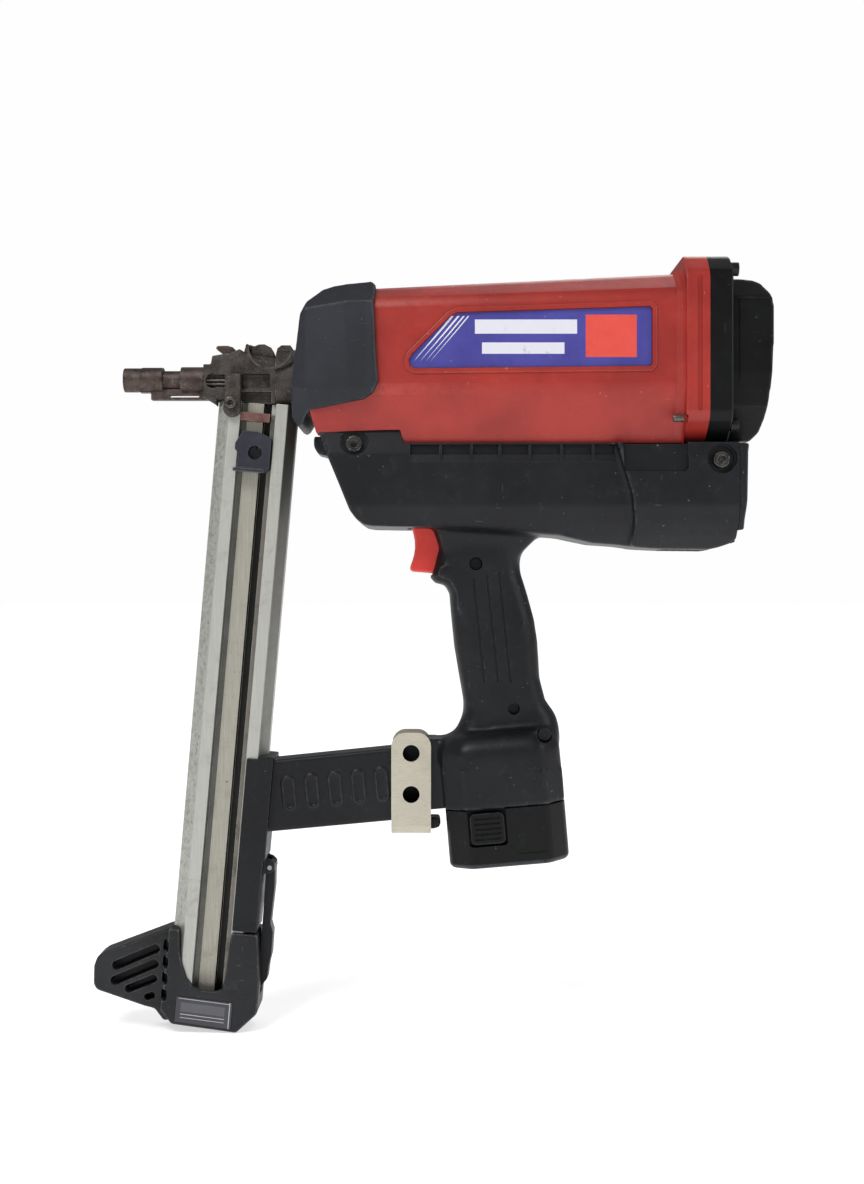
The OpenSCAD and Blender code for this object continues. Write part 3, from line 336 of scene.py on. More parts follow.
def soft_goods(name, tone, dark, size=1.0, depth=0.1):
    """Foam or rubber with open pores."""
    f = Finish(name)
    pores = f.rise(f.noise(size, 3, 0.6), 0.45, 0.62)
    f.put("Base Color", f.mix(f.noise(12, 3), f.mix(pores, dark, tone),
                              tuple(c * 0.8 for c in tone[:3]) + (1,)))
    f.put("Roughness", 0.85 + (f.noise(5, 3) - 0.5) * 0.15)
    f.bump((pores, depth), (f.noise(7, 2), depth))
    return f.material


def smooth_part(name, tone, dark, metal=0.0, rough=0.4, coat=0.0):
    """A small bought-in part: wire, cell wrap, ceramic, board or brass."""
    f = Finish(name)
    handled = f.rise(f.noise(7, 5, 0.65), 0.4, 0.7)
    colour = f.mix(handled * 0.6, tone, dark)
    rub = f.edge(0.6) * f.rise(f.noise(2, 3), 0.35, 0.6)
    colour = f.mix(rub * 0.5, colour, tuple(min(1, c * 1.5 + 0.06) for c in tone[:3]) + (1,))
    f.put("Base Color", colour)
    f.put("Metallic", metal)
    f.put("Roughness", rough + (f.noise(4, 4) - 0.5) * 0.2)
    f.put("Coat Weight", coat)
    f.bump((f.noise(0.5, 3), 0.01), (f.noise(4, 3), 0.02))
    return f.material


RECIPES = {
    "red_moulding": (moulded, paint(160, 45, 36), paint(200, 112, 98), 0.42, 0.9, 0.03,
                            paint(138, 34, 28), 0.4, 0.14),
    "black_moulding": (moulded, paint(22, 24, 28), paint(108, 112, 120), 0.44, 0.9, 0.035,
                              paint(15, 16, 19), 0.27, 0.14),
    "bumper_rubber": (moulded, paint(36, 39, 46), paint(104, 108, 116), 0.55, 0.6, 0.05,
                             paint(27, 30, 36), 0.32, 0.16),
    "cap_black": (moulded, paint(11, 12, 13), paint(76, 78, 82), 0.42, 0.65, 0.03, paint(7, 7, 8), 0.19,
                  0.15),
    "battery_black": (moulded, paint(9, 10, 12), paint(104, 108, 116), 0.41, 0.9, 0.025,
                             paint(6, 7, 8), 0.21, 0.2),
    "pusher_black": (moulded, paint(46, 48, 58), paint(132, 134, 144), 0.46, 0.9, 0.03,
                            paint(36, 38, 47), 0.35, 0.3),
    "grey_moulding": (moulded, paint(34, 35, 38), paint(130, 132, 134), 0.48, 1.1, 0.035,
                             paint(20, 21, 23), 0.34, 0.3),
    "trigger_red": (moulded, paint(232, 72, 62), paint(244, 150, 138), 0.38, 0.35, 0.02,
                           paint(216, 58, 50), 0.4, 0.3),
    "side_print": (side_print,),
    "foot_print": (foot_print,),
    "burnt_steel": (steel, paint(82, 70, 66), paint(48, 40, 38), 0.55, 0.6, 0.5, 0.09),
    "cast_steel": (steel, paint(74, 70, 67), paint(44, 40, 38), 0.3, 0.55, 0.55, 0.2),
    "wire_steel": (steel, paint(96, 92, 88), paint(48, 44, 42), 0.3, 0.8, 0.36, 0.04),
    "tool_steel": (steel, paint(150, 148, 146), paint(96, 92, 90), 0.12, 0.9, 0.3, 0.02,
                        paint(214, 212, 208)),
    "black_steel": (steel, paint(24, 24, 25), paint(12, 12, 13), 0.12, 0.5, 0.45, 0.03,
                         paint(74, 74, 76), 0.8),
    "stop_steel": (steel, paint(128, 88, 82), paint(92, 62, 58), 0.5, 0.4, 0.5, 0.05,
                        paint(170, 140, 130)),
    "rail_aluminium": (bright, paint(186, 186, 180), paint(112, 108, 94), 0.5, 0.42, (1, 1, 30), 1.2, 0.3,
                             True),
    "clip_steel": (bright, paint(198, 192, 176), paint(150, 142, 124), 0.6, 0.4, (6, 1, 1), 0.7, 0.25),
    "strip_steel": (bright, paint(122, 118, 110), paint(60, 56, 50), 0.6, 0.4, (1, 1, 30), 1.6, 0.6),
    "bolt_steel": (steel, paint(84, 82, 80), paint(40, 38, 37), 0.15, 0.8, 0.38, 0.03, paint(176, 174, 170),
                        0.9),
    "cast_aluminium": (bright, paint(186, 186, 188), paint(120, 112, 104), 0.8, 0.42, (1, 1, 1)),
    "turned_aluminium": (bright, paint(196, 197, 200), paint(120, 112, 104), 0.9, 0.3,
                               (0.3, 8, 8)),
    "foam": (soft_goods, paint(66, 66, 60), paint(20, 20, 18), 1.1, 0.4),
    "pad_rubber": (soft_goods, paint(24, 24, 26), paint(14, 14, 15), 0.7, 0.04),
    "brown_rubber": (soft_goods, paint(44, 40, 38), paint(26, 24, 23), 0.6, 0.03),
    "brass": (smooth_part, paint(206, 176, 96), paint(130, 96, 50), 0.95, 0.3),
    "ceramic": (smooth_part, paint(232, 230, 220), paint(180, 172, 156), 0.0, 0.2, 0.6),
    "board_green": (smooth_part, paint(32, 92, 52), paint(20, 60, 34), 0.0, 0.35, 0.4),
    "cell_wrap": (smooth_part, paint(48, 132, 84), paint(30, 96, 60), 0.0, 0.3, 0.5),
    "valve_white": (smooth_part, paint(222, 220, 210), paint(170, 164, 150), 0.0, 0.4),
    "motor_grey": (smooth_part, paint(150, 152, 154), paint(90, 90, 92), 0.85, 0.32),
    "contact_black": (smooth_part, paint(30, 30, 33), paint(18, 18, 20), 0.0, 0.5),
}
finishes = {name: recipe(name, *values) for name, (recipe, *values) in RECIPES.items()}

FINISH_OF = {
    "upper_housing": "red_moulding", "left_handle_shell": "black_moulding",
             "right_handle_shell": "black_moulding",
    "fuel_door": "black_moulding", "front_bumper": "bumper_rubber", "rear_plate": "cap_black",
    "rear_cap": "cap_black", "air_filter": "foam", "plate_screws": "black_steel",
             "housing_bolts": "bolt_steel",
    "handle_screws": "black_steel", "cylinder": "cast_aluminium", "piston_stop": "brown_rubber",
    "cylinder_head": "cast_aluminium", "fan_motor": "motor_grey", "spark_plug": "ceramic",
    "nose_mount": "cast_steel", "nose_barrel": "burnt_steel", "nose_block": "cast_steel",
    "nose_clamp": "cast_steel", "nose_screw": "wire_steel", "nose_catch": "burnt_steel",
    "bail_lugs": "cast_steel", "fuel_cell": "turned_aluminium", "metering_valve": "valve_white",
    "contact_block": "contact_black", "control_board": "board_green", "trigger_switch": "contact_black",
    "magazine_rail": "rail_aluminium", "guide_strip": "strip_steel", "nail_stop": "stop_steel",
    "magazine_foot": "grey_moulding", "magazine_bracket": "black_moulding", "hanger_clip": "clip_steel",
    "skid_pad": "pad_rubber", "door_pin": "tool_steel", "latch_pin": "tool_steel",
             "side_labels": "side_print",
    "foot_label": "foot_print", "chamber_spring": "wire_steel", "trigger_spring": "tool_steel",
    "contact_tip": "burnt_steel", "contact_arm": "burnt_steel", "linkage_yoke": "tool_steel",
    "combustion_sleeve": "turned_aluminium", "piston": "turned_aluminium", "driver_blade": "tool_steel",
    "piston_rings": "black_steel", "fan": "brass", "trigger": "trigger_red", "nail_pusher": "pusher_black",
    "feed_spring": "tool_steel", "battery_case": "battery_black", "battery_cells": "cell_wrap",
    "battery_latch_left": "battery_black", "battery_latch_right": "battery_black",
             "foot_latch": "black_moulding",
    "wire_bail": "wire_steel",
}


def coat_cad_nodes():
    """Gives every CAD node its finish."""
    for name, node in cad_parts.items():
        node.data.materials.clear()
        node.data.materials.append(finishes[FINISH_OF[name]])


# ---------- modelling ----------


def mm(x, y, z):
    return Vector((x, y, z)) * MM


def tilted(x, z, degrees):
    """The frame at x and z, turned about the tool's cross axis."""
    return Matrix.Translation(mm(x, 0, z)) @ Matrix.Rotation(math.radians(degrees), 4, "Y")


PACK = tilted(252.4, -280, -4.8)
RAIL = tilted(89.8, -14.3, 4.9)
GRIP_SCREWS = ((233.5, -122.5), (258.3, -217.5), (278, -233.5))
PLATE_SCREWS = [(y, z) for y in (-38, 38) for z in (66, -34)]
CLIP_HOLES = (-274, -247)
PLATE_SCREW_R = 2.56
CHAMBER_R = 42
NECK_TURNS, BASE_TURNS = 26, 52


def drawn_out(bm, face, reach):
    """Makes a solid from one face."""
    raised = bmesh.ops.extrude_face_region(bm, geom=[face])["geom"]
    bmesh.ops.translate(bm, verts=[v for v in raised if isinstance(v, bmesh.types.BMVert)], vec=mm(*reach))
    bmesh.ops.recalc_face_normals(bm, faces=bm.faces[:])
    return bm


def prism(ring, reach):
    """A solid drawn out from one outline of (x, y, z) corners."""
    bm = bmesh.new()
    return drawn_out(bm, bm.faces.new([bm.verts.new(mm(*corner)) for corner in ring]), reach)


def across(points, low, high):
    """A solid with this side outline, as (x, z), from y low to y high."""
    return prism([(x, low, z) for x, z in points], (0, high - low, 0))


def along(points, low, high):
    """A solid with this section, as (y, z), from x low to x high."""
    return prism([(low, y, z) for y, z in points], (high - low, 0, 0))


def upright(points, low, high):
    """A solid with this plan, as (x, y), from z low to z high."""
    return prism([(x, y, low) for x, y in points], (0, 0, high - low))


def block(low, high):
    bm = bmesh.new()
    middle, size = (mm(*low) + mm(*high)) / 2, mm(*high) - mm(*low)
    bmesh.ops.create_cube(bm, size=1, matrix=Matrix.Translation(middle) @ Matrix.Diagonal((*size, 1)))
    return bm


def rod(start, end, radius, sides=40, tip=None):
    """A round bar between two points, tapered to radius tip."""
    a, b = mm(*start), mm(*end)
    bm = bmesh.new()
    turn = (b - a).to_track_quat("Z", "Y").to_matrix().to_4x4()
    bmesh.ops.create_cone(bm, cap_ends=True, segments=sides, radius1=radius * MM,
                          radius2=(radius if tip is None else tip) * MM, depth=(b - a).length,
                          matrix=Matrix.Translation((a + b) / 2) @ turn)
    return bm


def loft(rings, way="X"):
    """A solid through sections of equal corner count: (x, [(y, z), ...]) for each."""
    bm = bmesh.new()
    loops = []
    for spot, points in rings:
        corners = [bm.verts.new(mm(spot, a, b) if way == "X" else mm(a, spot, b)
                                if way == "Y" else mm(a, b, spot))
                   for a, b in points]
        loops.append([bm.edges.new(pair) for pair in zip(corners, corners[1:] + corners[:1])])
    for near, far in zip(loops, loops[1:]):
        bmesh.ops.bridge_loops(bm, edges=near + far)
    for end in (loops[0], loops[-1]):
        bmesh.ops.contextual_create(bm, geom=end)
    bmesh.ops.recalc_face_normals(bm, faces=bm.faces[:])
    return bm


def placed(bm, matrix):
    bmesh.ops.transform(bm, matrix=matrix, verts=bm.verts[:])
    return bm


def mirrored(bm):
    """The solid on the other side of the tool."""
    twin = bm.copy()
    bmesh.ops.scale(twin, vec=(1, -1, 1), verts=twin.verts[:])
    bmesh.ops.reverse_faces(twin, faces=twin.faces[:])
    return twin


def both_sides(bm):
    return [bm, mirrored(bm)]


def round_off(bm, width, segments=3, which=None, sharper=28):
    """Rounds the edges that turn by more than sharper degrees and marks their crests as worn."""
    wear = bm.verts.layers.float.get("wear") or bm.verts.layers.float.new("wear")
    edges = [e for e in bm.edges
             if len(e.link_faces) == 2 and e.calc_face_angle(0) > math.radians(sharper)
             and (which is None or which((e.verts[0].co + e.verts[1].co) / 2 / MM,
                                         (e.verts[0].co - e.verts[1].co).normalized()))]
    if not edges:
        return bm
    made = bmesh.ops.bevel(bm, geom=edges, offset=width * MM, offset_type="OFFSET", segments=segments,
                           profile=0.5,
                           affect="EDGES", clamp_overlap=True, material=-1)
    fresh = set(made["faces"])
    for v in made["verts"]:
        if all(f in fresh for f in v.link_faces):
            v[wear] = 1.0
    return bm


def runs_along_x(mid, way):
    return abs(way.x) > 0.9


def runs_along_y(mid, way):
    return abs(way.y) > 0.9


def arc(x, z, radius, angles):
    """Points round a centre, at these angles in degrees."""
    return [(x + radius * math.cos(math.radians(a)), z + radius * math.sin(math.radians(a)))
            for a in angles]


def object_of(bm, name="work"):
    mesh = bpy.data.meshes.new(name)
    bm.to_mesh(mesh)
    bm.free()
    made = bpy.data.objects.new(name, mesh)
    scene.collection.objects.link(made)
    return made


def modified(bm, *steps):
    """The solid after each modifier, given as its type and settings."""
    work = object_of(bm)
    for kind, settings in steps:
        step = work.modifiers.new(kind, kind)
        for key, value in settings.items():
            setattr(step, key, value)
    mesh = bpy.data.meshes.new_from_object(work.evaluated_get(bpy.context.evaluated_depsgraph_get()))
    done = bmesh.new()
    done.from_mesh(mesh)
    bpy.data.meshes.remove(mesh)
    bpy.data.objects.remove(work)
    return done


def combined(how, first, others):
    for other in others:
        tool = object_of(other)
        first = modified(first, ("BOOLEAN", {"operation": how, "solver": "MANIFOLD", "object": tool}))
        bpy.data.objects.remove(tool)
    return first


def joined(*solids):
    return combined("UNION", solids[0], solids[1:])


def cut(solid, *tools):
    return combined("DIFFERENCE", solid, tools)


def shared(solid, *others):
    return combined("INTERSECT", solid, others)


def melted(bm, cell, passes):
    """The solid with every edge and corner softened, as if cast, by a mesh of this cell in mm."""
    return modified(bm, ("REMESH", {"mode": "VOXEL", "voxel_size": cell * MM}),
                    ("SMOOTH", {"factor": 0.5, "iterations": passes}))


def shrunk(bm, wall, cell):
    """The hollow that leaves this wall inside a solid."""
    return modified(bm, ("DISPLACE", {"strength": -wall * MM, "mid_level": 0.0}),
                    ("REMESH", {"mode": "VOXEL", "voxel_size": cell * MM}))


def crested(bm, radius):
    """Marks convex bends tighter than about this radius as worn."""
    wear = bm.verts.layers.float.get("wear") or bm.verts.layers.float.new("wear")
    bm.normal_update()
    for v in bm.verts:
        bend = [v.normal.dot(v.co - e.other_vert(v).co) / max(e.calc_length(), 1e-5) ** 2
                for e in v.link_edges]
        v[wear] = min(1.0, max(0.0, (sum(bend) / max(1, len(bend)) * 4 * radius * MM - 0.35) / 0.9))
    return bm


def welded(node):
    """A closed copy of a CAD node's solid, with its flat faces whole."""
    bm = bmesh.new()
    bm.from_mesh(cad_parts[node].data)
    bmesh.ops.remove_doubles(bm, verts=bm.verts[:], dist=2e-6)
    bmesh.ops.dissolve_limit(bm, angle_limit=0.002, verts=bm.verts[:], edges=bm.edges[:])
    return bm


def make(name, bm, body, finish, *nodes, smooth=32, level=False):
    """A finished piece that rides on body and stands for these CAD nodes."""
    piece = object_of(bm, name)
    piece.data.materials.append(finishes[finish])
    piece.data.shade_smooth()
    piece.data.set_sharp_from_angle(angle=math.radians(smooth))
    if level:
        piece.modifiers.new("level", "WEIGHTED_NORMAL").keep_sharp = True
    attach(piece, body)
    if nodes:
        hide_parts(*nodes)
    return piece


# ---------- handle ----------

HULL = [(131.8, -30), (131.8, -38.6), (137, -52.7), (145, -71.9), (151.6, -88.3), (155.8, -94),
        (161, -97.7), (166, -98.6),
        (200, -99.1), (274, -103.5), (289, -104.8), (309, -109.2), (326, -110.4), (339, -112.2),
        (354, -113),
        (384.6, -113.4), (391, -112), (398, -109.5), (404, -104), (406, -95), (406, -30)]
GRIP = [(198, -90), (205, -100), (209, -112), (205.4, -126), (203.6, -131.2), (206.4, -134.8),
        (213.2, -136.6),
        (216.3, -142), (217.4, -156), (219.5, -177), (223, -198), (225.6, -213), (225.8, -221),
        (222.4, -229),
        (216, -240), (290, -240), (289, -229), (286.4, -221), (279.8, -213), (275.9, -198), (274.4, -173.5),
        (272.2, -159), (267.8, -143), (263.2, -128), (262.6, -121.7), (264, -115.5), (267, -110.3),
        (272, -106.5),
        (284, -101), (292, -90)]


def hull_section(half):
    right = [(33 + (half - 38), -30), (35.5 + (half - 38), -42), (half, -53), (half, -86), (half - 3, -96),
             (half - 10, -104.5), (half - 21, -115)]
    return symmetric(right)


def symmetric(right):
    """A whole section from its right half, as (y, z)."""
    return right + [(-y, z) for y, z in reversed(right)]


def octagon(length, width, corner):
    a, b = length / 2, width / 2
    return [(-a, corner - b), (corner - a, -b), (a - corner, -b), (a, corner - b), (a, b - corner),
            (a - corner, b), (corner - a, b), (-a, b - corner)]


def handle_outside():
    hull = shared(across(HULL, -60, 60), along(hull_section(38), 120, 345))
    bay = shared(across(HULL, -60, 60), along(hull_section(43.4), 300, 410),
                 across([(321, -20), (323.5, -48), (328, -63), (332.5, -78), (334.5, -96), (334, -125),
                         (420, -125),
                         (420, -20)], -60, 60))
    grip = bmesh.new()
    face = grip.faces.new([grip.verts.new(mm(x, 0, z)) for x, z in GRIP])
    bmesh.ops.reverse_faces(grip, faces=[f for f in [face] if f.normal.y > 0])
    drawn_out(grip, face, (0, -7.5, 0))
    for inward, out in ((1.3, 4.2), (2.4, 3.2), (4.0, 2.4), (5.0, 0.9)):
        grip.normal_update()
        top = min(grip.faces, key=lambda f: f.calc_center_median().y)
        bmesh.ops.inset_region(grip, faces=[top], thickness=inward * MM, depth=out * MM,
                               use_even_offset=True,
                               use_boundary=True)
    twin = mirrored(grip)
    base = upright(octagon(78, 72, 13), 0, 39)
    top = max(base.faces, key=lambda f: f.calc_center_median().z)
    bmesh.ops.inset_region(base, faces=[top], thickness=8 * MM, depth=9 * MM, use_even_offset=True)
    shoulder = loft([(-90, [(205, -23), (286, -23), (286, 23), (205, 23)]),
                     (-103, [(209, -21), (276, -21), (276, 21), (209, 21)]),
                     (-119, [(213, -14), (260, -14), (260, 14), (213, 14)])], "Z")
    return joined(hull, bay, grip, twin, placed(base, PACK), shoulder,
                   block((200.5, -13, -281), (224, 13, -237)), block((200.5, -13, -289.6), (212, 13, -238)),
                   across([(126.6, -38), (134, -36), (138, -52), (129.5, -50), (126.6, -45)], -11, 11))


def soften_neck(bm):
    """Blends the grip into the lower housing above it and into the battery base below."""
    for turn in range(BASE_TURNS):
        near = [v for v in bm.verts
                if turn < NECK_TURNS and -0.132 < v.co.z < -0.09 and 0.212 < v.co.x < 0.292
                or -0.256 < v.co.z < -0.212 and v.co.x > 0.208]
        bmesh.ops.smooth_vert(bm, verts=near, factor=0.5, use_axis_x=True, use_axis_y=True, use_axis_z=True)
    return bm


def wedge(x0, x1, half, top, low, depth):
    """A scoop in the side wall: deep at its top edge and running out at its lower one."""
    return along([(-half - 3, top), (-half + depth, top), (-half - 0.2, low), (-half - 3, low)], x0, x1)


def handle_details():
    """Everything cut into the outside of the closed handle."""
    tools = []
    for x0, x1 in ((190.6, 209.5), (211.1, 229.3), (230.9, 247.5), (249.1, 266.9), (268.5, 287.2),
                   (288.8, 307.4),
                   (309, 322.4)):
        tools += both_sides(wedge(x0, x1, 37.6, -46.2, -57.5, 2.6))
        tools += both_sides(block((x0 + 0.4, -40, -52.6), (x1 - 0.4, -33.4, -47.2)))
    recess = across([(326.5, -40), (368.5, -40), (368.5, -61.8), (366.5, -64), (329, -64), (327.5, -60)],
                    -50, -36)
    tools += both_sides(shared(recess, cut(block((320, -50, -70), (372, -36, -38)),
                                           along(hull_section(40.4), 310, 380))))
    for x, z, start, end, radius in ((154.7, -43.6, -60, -33.7, 8.2), (154.7, -43.6, -60, -35.2, 9.4),
                                     (390, -55.8, -60, -37.6, 8.2), (390, -55.8, -60, -40, 9.6),
                                     (154.7, -46, 60, 33, 6.5), (389.5, -56.5, 60, 37, 6.5)):
        tools.append(rod((x, start, z), (x, end, z), radius))
    for (x, z), half, radius in zip(GRIP_SCREWS, (18, 18, 29), (4.3, 3.9, 5.3)):
        tools.append(rod((x, -60, z), (x, -half + 8, z), radius))
        tools.append(rod((x, 60, z), (x, half - 6, z), 3.6))
    for x0, z0, x1, z1 in ((231.9, -131.8, 238.9, -200), (240.7, -130.4, 247.9, -200),
                           (248.6, -128, 256, -200)):
        groove = [(x0 - 0.9, z0), (x0 + 0.9, z0), (x1 + 0.9, z1), (x1 - 0.9, z1)]
        tools += both_sides(across(groove, -22, -17.1))
    return tools


def build_handle():
    outside = soften_neck(melted(handle_outside(), 1.25, 7))
    hollow = shrunk(outside.copy(), 2.5, 1.5)
    shell = cut(outside.copy(), hollow)
    posts = [rod((154.7, -37, -44.5), (154.7, 37, -44.5), 5), rod((389.5, -42, -56), (389.5, 42, -56), 5)]
    for x, y, z, r in ((154.7, 37, -44.5, 10.5), (389.8, 42, -56, 11)):
        posts += both_sides(rod((x, -y, z), (x, -27, z), r))
    posts += [rod((x, -half, z), (x, half, z), 6) for (x, z), half in zip(GRIP_SCREWS, (17, 17, 27))]
    posts += both_sides(across([(187.5, -46), (326, -46), (326, -60), (187.5, -60)], -35.6, -31.4))
    posts += both_sides(across([(324.5, -46), (371, -46), (371, -66.5), (324.5, -66.5)], -41.6, -35))
    shell = joined(shell, shared(joined(*posts), outside))
    seam = across([(100, 0), (100, -38.4), (131, -38.6), (174.5, -37), (183.8, -37), (186.2, -45.1),
                   (420, -45.1),
                   (420, 0)], -70, 70)
    trigger_way = block((188.5, -9.1, -129.6), (229, 9.1, -95.4))
    bay_mouth = rod((380, 0, -81), (412, 0, -81), 18.8)
    back = block((401, -60, -120), (420, 60, -20))
    stem_way = placed(upright(octagon(72, 66, 12), -6, 3.5), PACK)
    split = placed(block((-60, -60, -30), (60, 60, 0)), PACK)
    shell = cut(shell, joined(seam, back), trigger_way, bay_mouth, stem_way, split)
    shell = cut(shell, joined(*handle_details()))
    shell = cut(shell, rod((154.7, -60, -46), (154.7, 60, -46), 3.1),
                rod((389.5, -60, -56.5), (389.5, 60, -56.5), 3.1),
                *[rod((x, -60, z), (x, 60, z), 2.1) for x, z in GRIP_SCREWS])
    left = shared(shell.copy(), block((100, -70, -330), (420, -0.03, 0)))
    right = shared(shell, block((100, 0.03, -330), (420, 70, 0)))
    make("left_handle_half", crested(left, 3), "tool", "black_moulding", "left_handle_shell", smooth=40)
    make("right_handle_half", crested(right, 3), "tool", "black_moulding", "right_handle_shell", smooth=40)


# ---------- upper housing, bumper and cap ----------

LABEL = [(189.7, 6.5), (191.7, 10.2), (215.8, 34.3), (221, 36.9), (343.1, 40.9), (344.9, 39.2),
         (344.9, 4.3),
         (343.2, 2.6), (193.8, 1.1), (190.7, 2.8)]
RIM = [(186.6, 6.2), (189, 11.9), (214.1, 37), (220.4, 40.1), (344.4, 44.2), (348.1, 40.6), (348.1, 3),
       (344.4, -0.6),
       (193, -2.1), (188.3, 0.6)]
FLANGE = [(-30, -44), (-50, -30), (-50, 61.5), (-36, 75.5), (36, 75.5), (50, 61.5), (50, -30), (30, -44)]
BUMPER = [(165.7, 59), (168.7, 56), (167.8, 43), (169.2, 10), (170.5, -7.4), (167.6, -14.3), (161.5, -18.2),
          (128, -24.3), (124.2, -26.3), (121.3, -32), (119.2, -33.5), (116.8, -32.4), (114, -27.7),
          (114, -16),
          (115.6, 2.7), (117.8, 18), (120.2, 36.7), (124.2, 45.2), (136, 55.6)]
CAP = [(388, 62.7), (403, 62.7), (413, 61.4), (417.5, 58.9), (422.6, 51), (424, 43), (424, 17.8),
       (422.9, -4.8),
       (419.6, -28.6), (417, -37.5), (411.8, -43), (388, -43)]
CAP_BACK = [(-22, -43), (-37, -22), (-39, 0), (-39, 48), (-26, 62.5), (26, 62.5), (39, 48), (39, 0),
            (37, -22), (22, -43)]


def housing_section(half, top, side, grow=0.0, low=-45):
    foot = half - (half - (30 if half == 43 else 33)) * (-12 - low) / 33
    right = [(foot + grow, low), (half + grow, -12), (half + grow, side), (30 + grow, top + grow)]
    return symmetric(right)


def housing_form(grow, low=-45):
    return loft([(126 - grow, housing_section(41, 43, 35.5, grow, low)),
                 (150, housing_section(46, 55, 43.5, grow, low)),
                 (366.4, housing_section(46, 65.5, 50.5, grow, low))])


def rail_room(gap, low, high):
    half = [(26 + gap, -5), (26 + gap, 9), (21 + gap / 2, 15 + gap)]
    outline = [(-17.5, -15 - gap), (20.8, -15 - gap)] + half + [(-x, y) for x, y in reversed(half)]
    return placed(upright(outline, low, high), RAIL)


def lengthwise(mid, way):
    return abs(way.x) > 0.8 and mid.z > -40


def build_housing():
    body = round_off(housing_form(0, -50), 5, 5, lengthwise, 20)
    flange = round_off(along(FLANGE, 366, 381), 5, 5, runs_along_x)
    flange = round_off(flange, 1.3, 3, lambda mid, way: mid.x < 366.5, 60)
    ramp = loft([(360.5, housing_section(46, 65.3, 50.4, 0.02, -50)),
                 (363.6, housing_section(46, 65.4, 50.4, 0.7, -50)),
                 (365.2, housing_section(46, 65.5, 50.5, 1.9, -50)),
                 (366.2, housing_section(46, 65.5, 50.5, 3.6, -50))])
    rim = round_off(across(RIM, -47.2, -44), 0.95, 4, lambda mid, way: mid.y < -47)
    whole = joined(body, flange, ramp, *both_sides(rim))
    slot = round_off(block((373.2, -53, -26), (376, -48.9, 70.5)), 1.2, 4, runs_along_y)
    cuts = [loft([(154, housing_section(43, 52, 42.5, 0, -56)),
                  (362, housing_section(43, 62.5, 49.5, 0, -56))]),
            rod((120, 0, 0), (156, 0, 0), 40.9, 96), rod((360, 0, 0), (383, 0, 0), CHAMBER_R, 96),
            across([(110, -20), (126, -24), (133.5, -50), (110, -50)], -60, 60),
            across([(110, -70), (110, -38), (131, -38.3), (174.5, -36.7), (184.1, -36.7), (186.5, -44.8),
                    (365.7, -44.8), (365.7, -70)], -70, 70)]
    cuts += both_sides(across(LABEL, -55, -45)) + both_sides(slot)
    cuts += both_sides(rod((355, -46.5, -30.5), (367.4, -46.5, -30.5), 3.1))
    cuts += [rod((367.3, y, z), (383, y, z), PLATE_SCREW_R) for y, z in PLATE_SCREWS]
    for side in (-1, 1):
        screw = round_off(rod((358, side * 46.2, -30.5), (364.6, side * 46.2, -30.5), 2.5, 24), 0.5, 2)
        slot = block((363.9, side * 46.2 - 3, -30.9), (366, side * 46.2 + 3, -30.1))
        make("notch_screw_%s" % ("left" if side < 0 else "right"), cut(screw, slot), "tool", "wire_steel",
             "housing_bolts")
    make("red_housing", cut(whole, *cuts), "tool", "red_moulding", "upper_housing", smooth=24, level=True)


def build_bumper():
    nose = [(20, -46), (37, -8), (37, 28), (24, 41)]
    brow = [(26, -46), (45, -12), (45, 40), (32, 51)]
    shell = loft([(112, symmetric(nose)), (124, symmetric(brow)),
                  (150, housing_section(46, 55, 43.5, 3.7, -46)),
                  (172, housing_section(46, 56, 44.1, 3.7, -46))])
    lip = loft([(162.5, housing_section(46, 55.4, 43.6, 3.2, -46)),
                (166, housing_section(46, 55.6, 43.8, 4.5, -46)),
                (172, housing_section(46, 56, 44.1, 4.0, -46))])
    outside = melted(shared(across(BUMPER, -60, 60), joined(shell, lip)), 0.95, 5)
    bumper = cut(outside, round_off(housing_form(0.35, -50), 5, 5, lengthwise, 20),
                 rod((100, 0, 0), (127, 0, 0), 21, 64),
                 rail_room(0.8, -40, 20))
    make("rubber_bumper", crested(bumper, 3), "tool", "bumper_rubber", "front_bumper", smooth=40)


def build_back():
    plate = round_off(along(FLANGE, 381.1, 396), 5, 5, runs_along_x)
    plate = round_off(plate, 1.6, 4, lambda mid, way: mid.x > 395.5, 60)
    plate = cut(plate, rod((380, 0, 0), (397, 0, 0), CHAMBER_R, 96),
                *[rod((380, y, z), (397, y, z), PLATE_SCREW_R) for y, z in PLATE_SCREWS])
    make("back_plate", plate, "tool", "cap_black", "rear_plate", smooth=24, level=True)
    dome = melted(shared(across(CAP, -60, 60), along(CAP_BACK, 380, 430)), 1.0, 14)
    hollow = shrunk(dome.copy(), 2.8, 1.6)
    slots = [round_off(block((418, -20, z), (430, 20, z + 2.6)), 1.2, 3, runs_along_x)
             for z in range(-14, 38, 7)]
    rings = [block((400.6, -60, -60), (402.2, -38.2, 47)), block((400.6, 38.2, -60), (402.2, 60, 47))]
    dome = cut(dome, hollow, block((370, -60, -60), (396.25, 60, 80)), *slots, *rings)
    make("cap_dome", crested(dome, 4), "tool", "cap_black", "rear_cap", smooth=40)


